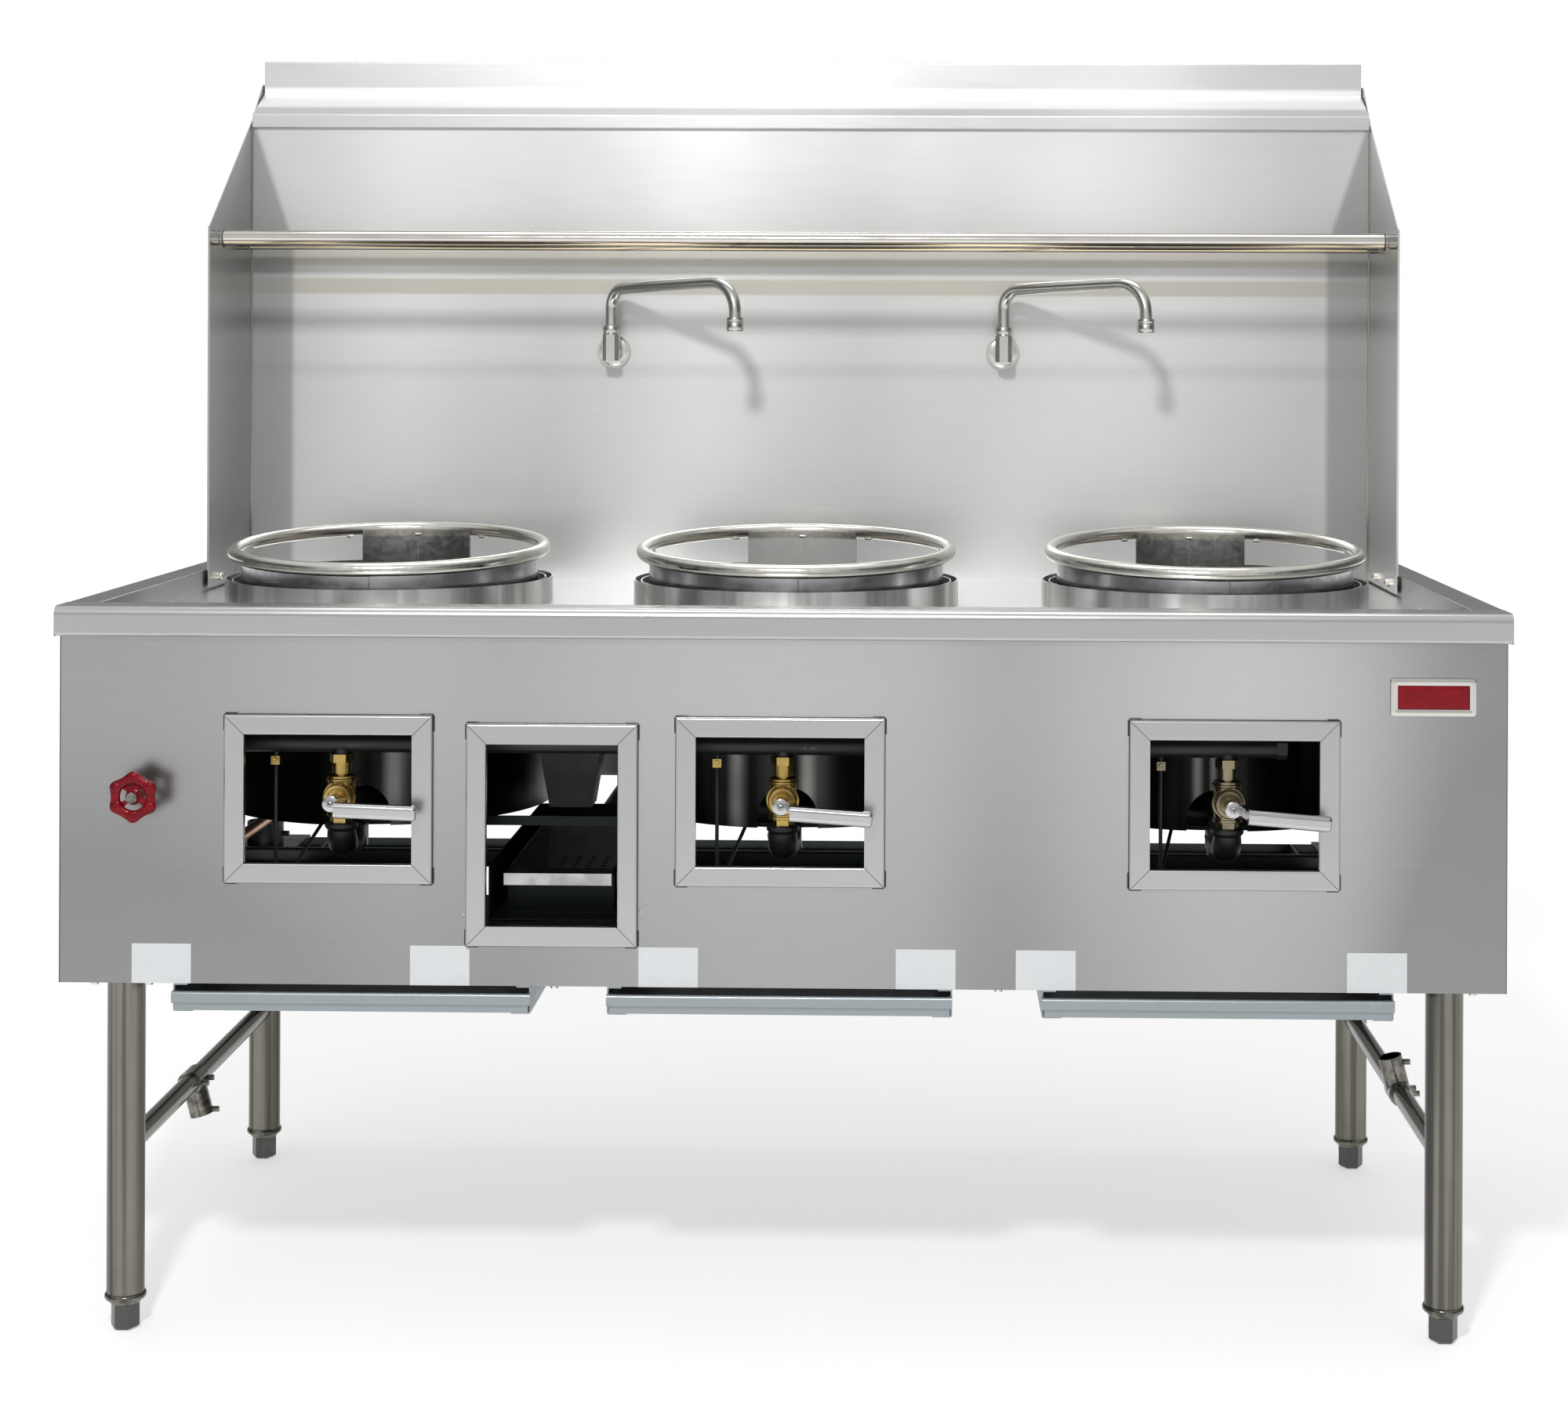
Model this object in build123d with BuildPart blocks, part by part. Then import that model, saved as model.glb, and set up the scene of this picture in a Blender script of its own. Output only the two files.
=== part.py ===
"""Three-burner wok range with a pot rack, swing spouts, a scrap drawer and drip trays.

Frame: X to the right, Y to the back, Z up, millimetres.  The origin is on the floor under
the middle of the range.  Depths are measured back from the face of the front rail.
"""
from math import cos, radians, sin
import os

from build123d import *

os.makedirs("parts", exist_ok=True)

# ---- driving dimensions -------------------------------------------------------------------
# body
rail_span = 1829.0  # length of the front rail, side to side
body_depth = 914.0  # front rail face to rear panel
deck_height = 941.0  # top of the front rail and side lips
body_height = 476.0  # lower edge of the front and side panels
sheet = 1.5  # sheet steel of panels and folded covers
bend = 2.0  # outer radius of a fold
hem = 12.0  # turned-in edge along the bottom of the panels
rest_gap = 0.3  # seat clearance between a loose piece and what carries it
slide_gap = 1.0  # clearance of a sliding piece, or of a pipe in its hole
service_stub = 15.0  # how far the service pipes stand out at the back
thread_cut = 0.6  # radius taken off their ends for a thread

# front rail, side lips and deck
rail_height = 38.0
rail_nose = 12.0  # front rail face to front panel
rail_shelf = 58.0  # flat top of the front rail, front to back
rail_round = 11.0  # rounding of the front rail's upper edge
rail_edge = 5.0  # rounding of its lower edge
lip_width = 41.0
lip_nose = 4.5  # side lip face to side panel
deck_drop = 30.0  # deck surface below the rail top
deck_lap = 10.0  # how far the deck reaches under rail and lips

# splash back, wings and flue
flue_depth = 121.0  # splash back face to rear panel
wing_reach = 242.0  # wings ahead of the splash back
wing_rise = 505.0  # top of the wings' front edge
wing_top_rise = 680.0  # top of the wings at the splash back
wing_gap = 4.0  # side lip to wing
wing_hem = 12.0
wing_foot = 4.0  # wing edge above the deck
wing_bolt_offsets = (49.0, 151.0)  # bolts behind the wings' front edge
wing_bolt_rise = 17.0
cap_rise = 669.0  # lower edge of the flue cap
cap_lip = 21.0  # height of its front lip
cap_proud = 8.0  # lip ahead of the splash back
cap_slope_run = 68.0  # top of the cap's slope behind the splash back's face
cap_slope_rise = 728.5
cap_top_rise = 780.0
cap_hem = 10.0
cap_end_gap = 2.0  # flue cap to wing
flue_rise = 743.0  # top of the flue casing behind the cap

# pot rack
rack_tube = 22.2
rack_spigot = 18.0
rack_rise = 488.0
rack_offsets = (11.0, 176.0)  # tubes behind the wings' front edge
ferrule_rim = 0.5  # ferrule radius above the tube's
ferrule_length = 12.0
ferrule_groove = 2.0  # groove between ferrule and tube

# wok stations
wok_slack = 104.0  # rail span left over beside three wok stations
drum_outer = 457.0
drum_wall = 2.0
drum_rim = 34.0  # rim above the deck
drum_drop = 309.0
drum_flange = 21.5  # width of the fixing flange under the deck
flange_wall = 3.0
arch_width = 80.0
arch_drop = 254.0
ledge_drop = 241.0
ledge_hole = 240.0
sleeve_outer = 438.0
sleeve_rim = 2.0  # sleeve edge below the drum rim
lining_mouth = 380.0
lining_throat = 300.0
lining_seat_drop = 16.0  # top of the lining, seat of the wok ring
ring_outer = 450.0
ring_tube = 19.0
ring_rise = 43.5  # middle of the tube ring
ring_tilt = 3.6
band_outer = 414.0
band_wall = 3.0
vent_start = 23.0  # rear vents, degrees from straight back
vent_end = 82.0
vent_sill_rise = 11.0

# burners and their feed
burner_outer = 180.0
burner_rim = 14.0  # thickness of the burner's upper disc
burner_drop = 225.0
burner_neck = 60.0
burner_floor = 4.0  # burner body below its feed socket
burner_foot_width = 20.0
burner_feet = 3
jet_outer = 10.0
jet_length = 9.0
jet_rings = ((52.0, 8), (130.0, 16))  # circle diameter and number of jets
feed_drop = 272.5
feed_pipe = 21.3
feed_bore = 16.0
feed_socket = 34.0
feed_socket_length = 68.0
feed_insert = 15.0
feed_bend = 14.0
fitting_outer = 30.0
fitting_length = 30.0
union_flats = 42.0
union_length = 26.0
union_start = 40.0  # behind the valve's axis
feed_rise_depths = (150.0, 190.0)

# windows and their trims
window_inset = 6.0  # outer windows inside the woks' middles
window_drop = 242.0
window_size = (212.0, 161.5)
drain_window_drop = 285.5
drain_window_size = (165.0, 229.0)
trim_face = 25.5
trim_proud = 8.0
trim_wall = 1.5
trim_round = 3.0
mitre_gap = 0.4

# gas line and plug valves
valve_drop = 250.0
valve_depth = 87.0  # axis of the vertical gas run
valve_face_depth = 60.0  # front of the valve's round bonnet
valve_body = 36.0
valve_body_height = 52.0
valve_barrel = 32.0  # plug housing, front to back
bonnet_outer = 37.0
bonnet_wall = 6.0
bonnet_boss = 16.0
bonnet_boss_length = 10.0
valve_neck = 18.0
valve_neck_length = 3.0
valve_hex = 26.0
valve_hex_length = 8.0
union_barrel = 25.0
union_barrel_length = 14.5
union_nut = 27.0
union_nut_length = 10.5
elbow_drop = 24.0  # valve bottom to elbow axis
manifold_pipe = 26.7
manifold_bore = 21.0
manifold_overrun = 62.0  # end of the manifold beyond the right window's middle
manifold_clear = 1.5  # union nut to manifold
manifold_bend = 30.0
manifold_bracket_offsets = ((-1, -151.0), (-1, 149.0), (1, -269.0))  # from a window's middle
bracket_size = (20.0, 6.0)
service_side = 64.5  # gas and water lines inside the rail's left end

# gas levers
lever_droops = (2.0, 3.8, 4.7)  # degrees below level, left to right
lever_hub = 19.0
lever_hub_depth = 19.0
lever_hub_length = 12.0
lever_stem = 9.0
stem_play = 0.1
stem_insert = 23.0  # stem inside the valve
lever_screw = 8.0
lever_screw_head = 2.5
grip_start = 14.0
grip_length = 103.0
grip_height = 20.0
grip_thickness = 13.0
grip_ahead = 22.0  # middle of the grip ahead of the rail face
grip_round = 5.0
neck_height = 12.0
neck_width = 10.0

# pilot cocks
pilot_offset = 85.0
pilot_block = 11.0
pilot_drop = 5.0
pilot_boss = 7.0
pilot_key = 7.0
pilot_key_head = 3.5
pilot_stem = 4.0
pilot_tube = 4.8
pilot_tube_drop = 371.0
pilot_tube_turn = 40.0
pilot_tube_bend = 16.0
pilot_head = 9.0
pilot_head_length = 16.0
pilot_end_offset = 30.0  # pilot head beside the burner, left of the window's middle
pilot_end_gap = 95.0  # and ahead of the burner's middle
pilot_end_drop = 28.0  # and its foot below the burner's top

# handwheel and water line
wheel_side = 109.5  # handwheel inside the rail's left end
wheel_drop = 235.0
wheel_outer = 64.0
wheel_lobes = 6
wheel_lobe = 10.0  # radius of one lobe of the rim
wheel_waist = 57.3  # rim across two hollows between lobes
wheel_opening = 30.0  # inner diameter of the rim
wheel_spokes = 3
wheel_spoke = (10.0, 12.0)
wheel_spoke_circle = 25.0
wheel_round = 3.3
wheel_reach = 35.0  # how far the handwheel stands ahead of the rail
wheel_rim = 10.0  # rim thickness along its axle
wheel_set = 2.0  # rim face behind the nut's face
wheel_hub = 20.0
wheel_hub_length = 20.0
wheel_web = 5.0
wheel_nut = 13.0
wheel_nut_length = 5.0
water_stem = 9.0
water_stem_insert = 30.0
water_valve_depth = 45.0
water_valve_body = 32.0
water_port = 24.0
water_port_reach = 30.0
water_pipe = 16.0
water_bore = 13.0
water_turn_drop = 91.0
water_inlet_drop = 381.0
water_bend = 25.0
water_elbow = 9.0  # tight bend beside the valve

# swing spouts
spout_shift = 14.5  # spouts outside the middle between two woks
spout_rise = 323.0
spout_plate = 51.0
spout_plate_wall = 5.0
spout_shank = 17.0
spout_shank_length = 8.0
spout_stand = 38.0  # splash back face to spout axis
column_width = 25.0
column_chamfer = 6.0
column_foot_rise = 309.0
column_shoulder_rise = 349.0
column_rise = 363.0
spout_tube = 18.0
spout_wall = 1.2
spout_play = 0.05
spout_plug = 28.0
spout_run_rise = 419.5
spout_reach = 269.0
spout_climb = 8.0  # rise of the run towards its outlet
spout_swing = 41.0  # degrees forward of the splash back
spout_bends = (30.0, 45.0)
outlet_rise = 369.6
aerator_outer = 24.5
aerator_length = 20.0
aerator_lap = 4.0
aerator_bore = 14.0

# badge and labels
badge_side = 97.5  # middle of the badge inside the rail's right end
badge_drop = 105.5
badge_size = (107.5, 48.0)
badge_insert = (89.0, 29.0)
badge_thickness = 4.0
badge_face = 2.4  # sunk blank face, from the panel
label_size = (75.0, 50.0)
label_offsets = (-15.0, -115.0, 77.0, -33.5, 5.0, -21.0)  # from the ends of the drip trays
label_thickness = 0.4

# drip trays
tray_shifts = (36.0, 0.0, -26.0)  # trays beside the woks' middles
tray_spaces = (123.0, 141.0, 135.0)  # tray widths less than the wok pitch
tray_length = 600.0
tray_wall = 1.5
tray_headroom = 10.0
runner_drop = 35.0  # runner height under the body
runner_wall = 2.0
runner_foot = 25.0
runner_top = 18.0
runner_front_depth = 12.0
handle_top_gap = 8.4
handle_height = 15.0
handle_thickness = 9.0
handle_round = 3.5

# drain
drain_shift = 0.5  # drain beside the middle between two woks
drain_size = (130.0, 120.0)
drain_corner = 6.0
drain_depth = 215.0
hopper_outlet = (56.0, 54.0)
hopper_drop = 281.0
hopper_flange = 12.0
housing_front_depth = 44.0
housing_length = 456.0
housing_width = 170.0
housing_drop = 330.0
housing_foot = 60.0
strap_height = 12.0
strap_wall = 3.5
strap_drop = 289.0
strap_depth = 100.0
strap_length = 214.0
drawer_front_depth = 98.0
drawer_length = 372.0
drawer_width = 138.0
drawer_height = 53.5
drawer_pull = 33.0
drawer_lip = 15.0
drawer_hole = 8.0
drawer_hole_pitch = 20.0
drain_pipe = 42.0
drain_bore = 38.0

# legs, feet, base frame and side rails
leg_tube = 48.0
leg_side = 65.5  # leg axes inside the rail's ends
leg_insets = (96.0, 97.0)  # front and rear leg axes inside the body's depth
leg_wall = 1.5
leg_engagement = 55.0  # leg above the body's lower edge
foot_height = 33.0
foot_flats = 32.0
foot_chamfer = 3.0
bead_height = 13.0
bead_outer = 52.0
bead_round = 1.8
stud = 16.0
stud_length = 45.0
frame_bar = 18.0
frame_wall = 3.0
socket_wall = 4.0
socket_lip = 6.0  # socket above the leg
side_rail = 27.0
side_rail_wall = 1.5
side_rail_height = 232.0
clamp_depth = 410.0
clamp_wall = 3.5
clamp_socket_wall = 3.0
clamp_length = 40.0
clamp_socket = 50.0
clamp_lean = 15.0  # degrees, empty sockets out of plumb
clamp_screw = 8.0
clamp_screw_length = 9.0
panel_bolt = 10.0
panel_bolt_head = 3.0
panel_bolt_offsets = (-17.0, 52.0, 3.0, -12.5, 20.0)  # from legs, drain and wok stations
wing_bolt = 12.0
wing_bolt_head = 5.0
wing_bolt_shank = 6.0

# ---- places worked out from them ----------------------------------------------------------
wing_height = deck_height + wing_rise
wing_top = deck_height + wing_top_rise
cap_bottom = deck_height + cap_rise
cap_slope_top = deck_height + cap_slope_rise
cap_top = deck_height + cap_top_rise
flue_top = deck_height + flue_rise
rack_height = deck_height + rack_rise
spout_height = deck_height + spout_rise
column_bottom = deck_height + column_foot_rise
column_shoulder = deck_height + column_shoulder_rise
column_top = deck_height + column_rise
spout_run_height = deck_height + spout_run_rise
outlet_height = deck_height + outlet_rise
ring_height = deck_height + ring_rise
vent_sill = deck_height + vent_sill_rise
lining_seat = deck_height - lining_seat_drop
drum_bottom = deck_height - drum_drop
arch_top = deck_height - arch_drop
ledge_height = deck_height - ledge_drop
burner_top = deck_height - burner_drop
feed_height = deck_height - feed_drop
window_height = deck_height - window_drop
drain_window_height = deck_height - drain_window_drop
valve_height = deck_height - valve_drop
pilot_tube_low = deck_height - pilot_tube_drop
wheel_height = deck_height - wheel_drop
water_turn_height = deck_height - water_turn_drop
water_inlet_height = deck_height - water_inlet_drop
badge_height = deck_height - badge_drop
hopper_bottom = deck_height - hopper_drop
housing_top = deck_height - housing_drop
strap_bottom = deck_height - strap_drop
panel_bottom = deck_height - body_height
leg_top = panel_bottom + leg_engagement
socket_top = leg_top + socket_lip
back_depth = body_depth - flue_depth
wing_depth = back_depth - wing_reach
cap_slope_depth = back_depth + cap_slope_run
rack_depths = [wing_depth + offset for offset in rack_offsets]
wing_bolt_depths = [wing_depth + offset for offset in wing_bolt_offsets]
wok_depth = (rail_shelf + back_depth) / 2
leg_depths = (leg_insets[0], body_depth - leg_insets[1])
front_y = (wheel_reach - body_depth - service_stub) / 2
panel_y = front_y + rail_nose
inside_y = panel_y + sheet
shelf_y = front_y + rail_shelf
rear_y = front_y + body_depth
back_y = front_y + back_depth
wing_y = front_y + wing_depth
riser_y = rear_y - rail_shelf / 2
rail_half = rail_span / 2
panel_half = rail_half - lip_nose
inside_half = panel_half - sheet
rear_half = inside_half - (bend - sheet)
hem_half = panel_half - hem
lip_inner = rail_half - lip_width
wing_half = lip_inner - wing_gap
wing_inner = wing_half - sheet
cap_half = wing_inner - cap_end_gap
deck_z = deck_height - deck_drop
deck_under = deck_z - sheet
rail_bottom = deck_height - rail_height
flange_half = lip_inner - deck_lap
wok_y = front_y + wok_depth
wok_pitch = (rail_span - wok_slack) / 3
window_pitch = wok_pitch - window_inset
wok_xs = (-wok_pitch, 0.0, wok_pitch)
window_xs = (-window_pitch, 0.0, window_pitch)
drain_x = drain_shift - wok_pitch / 2
spout_x = wok_pitch / 2 + spout_shift
leg_x = rail_half - leg_side
wheel_x = wheel_side - rail_half
service_x = service_side - rail_half
badge_x = rail_half - badge_side
manifold_right = window_pitch + manifold_overrun
manifold_bracket_xs = [side * window_pitch + offset for side, offset in manifold_bracket_offsets]
tray_centres = [x + shift for x, shift in zip(wok_xs, tray_shifts)]
tray_widths = [wok_pitch - space for space in tray_spaces]
tray_ends = [x + side * width / 2 for x, width in zip(tray_centres, tray_widths) for side in (-1, 1)]
label_xs = [end + offset for end, offset in zip(tray_ends, label_offsets)]
panel_bolt_xs = [
    place + offset
    for place, offset in zip((-leg_x, -leg_x, drain_x, wok_pitch / 2, leg_x), panel_bolt_offsets)
]
valve_y = front_y + valve_depth
valve_top = valve_height + valve_body_height / 2
valve_bottom = valve_height - valve_body_height / 2 - valve_hex_length
union_top = valve_top + valve_neck_length + union_barrel_length + union_nut_length
manifold_height = union_top + manifold_clear + manifold_pipe / 2
pilot_top = manifold_height - manifold_pipe / 2 - pilot_drop
pilot_z = pilot_top - pilot_block / 2
elbow_z = valve_bottom - elbow_drop
frame_top = panel_bottom + frame_bar
frame_front = panel_y + hem
frame_rear = rear_y - sheet
runner_bottom = panel_bottom - runner_drop
socket_reach = hem_half - leg_x
spout_y = back_y - spout_stand
housing_floor = drain_window_height - drain_window_size[1] / 2
drain_pipe_height = housing_floor + sheet + drain_pipe / 2
rear_panel_bottom = drain_pipe_height + drain_pipe / 2 + slide_gap
sides = ("left", "middle", "right")


def save(piece, name):
    """Label a finished piece and write it out."""
    piece.part.label = name
    export_step(piece.part, f"parts/{name}.step")


def folded(plane, points, side, radius=bend, thickness=sheet):
    """Section of folded sheet: one face line with round folds, thickened to one side."""
    with BuildSketch(plane) as section:
        with BuildLine():
            FilletPolyline(*points, radius=radius)
            offset(amount=thickness, side=side)
        make_face()
    return section.sketch


def block(low, high, mode=Mode.ADD):
    """Square-edged block between two opposite corners."""
    size = [top - bottom for bottom, top in zip(low, high)]
    with Locations(tuple((top + bottom) / 2 for bottom, top in zip(low, high))):
        Box(*size, mode=mode)


def rod(start, axis, length, diameter, bore=0.0, mode=Mode.ADD):
    """Round bar or tube from a start point along an axis."""
    with BuildSketch(Plane(origin=start, z_dir=axis)) as section:
        Circle(diameter / 2)
        if bore:
            Circle(bore / 2, mode=Mode.SUBTRACT)
    extrude(section.sketch, amount=length, mode=mode)


def hex_bar(start, axis, length, flats, bore=0.0):
    """Hexagon bar from a start point along an axis."""
    with BuildSketch(Plane(origin=start, z_dir=axis)) as section:
        RegularPolygon(flats / 2, 6, major_radius=False)
        if bore:
            Circle(bore / 2, mode=Mode.SUBTRACT)
    extrude(section.sketch, amount=length)


def service_end(x, z, diameter, bore):
    """Plain spigot, cut down for its thread, where a service pipe ends at the back."""
    rod(
        (x, rear_y + slide_gap, z),
        (0, 1, 0),
        service_stub - slide_gap,
        diameter - 2 * thread_cut,
        bore,
    )


def pipe_run(points, radius, diameter, bore):
    """Round pipe along the points, with round bends."""
    with BuildLine() as route:
        FilletPolyline(*points, radius=radius)
    with BuildSketch(Plane(origin=route.line @ 0, z_dir=route.line % 0)) as section:
        Circle(diameter / 2)
        Circle(bore / 2, mode=Mode.SUBTRACT)
    sweep(section.sketch, path=route.line)


# ---- outer panels -------------------------------------------------------------------------
with BuildPart() as front_panel:
    block((-panel_half, panel_y, panel_bottom), (panel_half, inside_y, deck_under))
    block(
        (-flange_half, inside_y, deck_under - sheet),
        (flange_half, shelf_y, deck_under),
    )
    block(
        (-hem_half, inside_y, panel_bottom),
        (hem_half, frame_front, panel_bottom + sheet),
    )
    with BuildSketch(Plane.XZ.offset(-inside_y)):
        with Locations([(x, window_height) for x in window_xs]):
            Rectangle(*window_size)
        with Locations((drain_x, drain_window_height)):
            Rectangle(*drain_window_size)
        with Locations((wheel_x, wheel_height)):
            Circle(water_stem / 2 + slide_gap)
    extrude(amount=sheet, mode=Mode.SUBTRACT)
save(front_panel, "front_panel")

for side, sign in (("left", -1), ("right", 1)):
    with BuildPart() as side_panel:
        section = folded(
            Plane.XZ.offset(-inside_y),
            [
                (sign * flange_half, deck_under),
                (sign * panel_half, deck_under),
                (sign * panel_half, panel_bottom),
                (sign * hem_half, panel_bottom),
            ],
            Side.RIGHT if sign > 0 else Side.LEFT,
        )
        extrude(section, amount=-(rear_y - inside_y))
    save(side_panel, f"{side}_side_panel")

with BuildPart() as rear_panel:
    block((-rear_half, rear_y - sheet, rear_panel_bottom), (rear_half, rear_y, deck_under - sheet))
    block(
        (-flange_half, rear_y - rail_shelf, deck_under - sheet),
        (flange_half, rear_y, deck_under),
    )
    # holes where the gas line and the water riser pass
    rod(
        (service_x, rear_y - sheet, manifold_height),
        (0, 1, 0),
        sheet,
        manifold_pipe + 2 * slide_gap,
        mode=Mode.SUBTRACT,
    )
    rod(
        (service_x, riser_y, deck_under - sheet),
        (0, 0, 1),
        sheet,
        water_pipe + 2 * slide_gap,
        mode=Mode.SUBTRACT,
    )
save(rear_panel, "rear_panel")

# ---- deck, front rail and side lips -------------------------------------------------------
with BuildPart() as deck_pan:
    block(
        (-lip_inner - deck_lap, shelf_y - deck_lap, deck_under),
        (lip_inner + deck_lap, rear_y, deck_z),
    )
    with BuildSketch(Plane.XY.offset(deck_under)):
        with Locations([(x, wok_y) for x in wok_xs]):
            Circle(drum_outer / 2 + rest_gap)
        with Locations((drain_x, front_y + drain_depth)):
            RectangleRounded(*drain_size, drain_corner)
        with Locations((service_x, riser_y)):
            Circle(water_pipe / 2 + slide_gap)
    extrude(amount=sheet, mode=Mode.SUBTRACT)
save(deck_pan, "deck_pan")

with BuildPart() as front_rail:
    section = folded(
        Plane.YZ,
        [
            (shelf_y, deck_z),
            (shelf_y, deck_height),
            (front_y, deck_height),
            (front_y, rail_bottom),
            (panel_y, rail_bottom),
        ],
        Side.LEFT,
        radius=[bend, rail_round, rail_edge],
    )
    extrude(section, amount=rail_half, both=True)
    # closed ends, with a return against the side panels
    for low, high in ((-rail_half, sheet - rail_half), (rail_half - sheet, rail_half)):
        with BuildSketch(Plane.YZ.offset(low)) as end:
            with BuildLine():
                FilletPolyline(
                    (shelf_y, rail_bottom),
                    (shelf_y, deck_height),
                    (front_y, deck_height),
                    (front_y, rail_bottom),
                    radius=[bend, rail_round],
                )
                Line((front_y, rail_bottom), (shelf_y, rail_bottom))
            make_face()
        extrude(end.sketch, amount=high - low)
    for sign in (-1, 1):
        near, far = sorted((sign * panel_half, sign * rail_half))
        block((near, panel_y, rail_bottom), (far, shelf_y, rail_bottom + sheet))
save(front_rail, "front_rail")

with BuildPart() as side_lips:
    for sign in (-1, 1):
        section = folded(
            Plane.XZ.offset(-shelf_y),
            [
                (sign * lip_inner, deck_z),
                (sign * lip_inner, deck_height),
                (sign * rail_half, deck_height),
                (sign * rail_half, rail_bottom),
                (sign * panel_half, rail_bottom),
            ],
            Side.RIGHT if sign > 0 else Side.LEFT,
        )
        extrude(section, amount=-(rear_y - shelf_y))
save(side_lips, "side_lips")

# ---- splash back, wings and flue ----------------------------------------------------------
with BuildPart() as back_panel:
    block(
        (-wing_inner, back_y, deck_z),
        (wing_inner, back_y + sheet, cap_bottom + cap_lip - wing_foot),
    )
    with BuildSketch(Plane.XZ.offset(-back_y - sheet)):
        with Locations((-spout_x, spout_height), (spout_x, spout_height)):
            Circle(spout_shank / 2 + spout_play)
    extrude(amount=sheet, mode=Mode.SUBTRACT)
save(back_panel, "back_panel")

wing_bolt_z = deck_z + wing_bolt_rise
for side, sign in (("left", -1), ("right", 1)):
    with BuildPart() as wing:
        with BuildSketch(Plane.YZ.offset(sign * wing_inner)):
            Polygon(
                (wing_y, deck_z + wing_foot),
                (wing_y, wing_height),
                (back_y, wing_top),
                (back_y, deck_z + wing_foot),
                align=None,
            )
            with Locations([(front_y + depth, wing_bolt_z) for depth in wing_bolt_depths]):
                Circle(wing_bolt_shank / 2, mode=Mode.SUBTRACT)
        extrude(amount=sign * sheet)
        # front edge folded back on the outside
        near, far = sorted((sign * wing_half, sign * (wing_half + sheet)))
        block((near, wing_y, deck_height), (far, wing_y + wing_hem, wing_height))
    save(wing, f"{side}_wing")

with BuildPart() as flue_cap:
    section = folded(
        Plane.YZ,
        [
            (back_y, cap_bottom),
            (back_y - cap_proud, cap_bottom),
            (back_y - cap_proud, cap_bottom + cap_lip),
            (front_y + cap_slope_depth, cap_slope_top),
            (front_y + cap_slope_depth, cap_top),
            (front_y + cap_slope_depth + cap_hem, cap_top),
        ],
        Side.RIGHT,
    )
    extrude(section, amount=cap_half, both=True)
save(flue_cap, "flue_cap")

with BuildPart() as flue_box:
    block((-wing_half, rear_y - sheet, deck_z), (wing_half, rear_y, flue_top))
    for sign in (-1, 1):
        with BuildSketch(Plane.YZ.offset(sign * wing_inner)) as side_wall:
            Polygon(
                (back_y, deck_z),
                (back_y, wing_top),
                (front_y + cap_slope_depth, flue_top),
                (rear_y, flue_top),
                (rear_y, deck_z),
                align=None,
            )
        extrude(side_wall.sketch, amount=sign * sheet)
save(flue_box, "flue_box")

# ---- pot rack -----------------------------------------------------------------------------
rack_half = wing_inner - ferrule_length - ferrule_groove
with BuildPart() as pot_rack:
    for depth in rack_depths:
        y = front_y + depth
        rod((-wing_inner, y, rack_height), (1, 0, 0), 2 * wing_inner, rack_spigot)
        rod((-rack_half, y, rack_height), (1, 0, 0), 2 * rack_half, rack_tube)
        for x in (-wing_inner, wing_inner - ferrule_length):
            rod((x, y, rack_height), (1, 0, 0), ferrule_length, rack_tube + 2 * ferrule_rim)
save(pot_rack, "pot_rack")

# ---- wok stations -------------------------------------------------------------------------
drum_inner = drum_outer - 2 * drum_wall
sleeve_inner = sleeve_outer - 2 * drum_wall
arch_radius = arch_width / 2
for side, x, arch_x in zip(sides, wok_xs, window_xs):
    with BuildPart() as chamber:
        rod((x, wok_y, drum_bottom), (0, 0, 1), deck_z + drum_rim - drum_bottom, drum_outer, drum_inner)
        rod(
            (x, wok_y, deck_under - flange_wall),
            (0, 0, 1),
            flange_wall,
            drum_outer + 2 * drum_flange,
            drum_inner,
        )
        rod((x, wok_y, ledge_height - flange_wall), (0, 0, 1), flange_wall, drum_outer, ledge_hole)
        rod(
            (x, wok_y, ledge_height - flange_wall),
            (0, 0, 1),
            deck_z + drum_rim - sleeve_rim - ledge_height + flange_wall,
            sleeve_outer,
            sleeve_inner,
        )
        # arched way in for the gas feed
        with BuildSketch(Plane.XZ.offset(-wok_y)) as arch:
            with Locations((arch_x, arch_top - arch_radius)):
                Circle(arch_radius)
            with Locations((arch_x, (arch_top - arch_radius + drum_bottom) / 2)):
                Rectangle(arch_width, arch_top - arch_radius - drum_bottom)
        extrude(arch.sketch, amount=drum_outer, mode=Mode.SUBTRACT)
    save(chamber, f"chamber_{side}")

with BuildPart() as chamber_linings:
    for x in wok_xs:
        with Locations((x, wok_y, ledge_height)):
            Cylinder(
                sleeve_inner / 2 - rest_gap,
                lining_seat - ledge_height,
                align=(Align.CENTER, Align.CENTER, Align.MIN),
            )
            Cone(
                lining_throat / 2,
                lining_mouth / 2,
                lining_seat - ledge_height,
                align=(Align.CENTER, Align.CENTER, Align.MIN),
                mode=Mode.SUBTRACT,
            )
save(chamber_linings, "chamber_linings")

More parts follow.
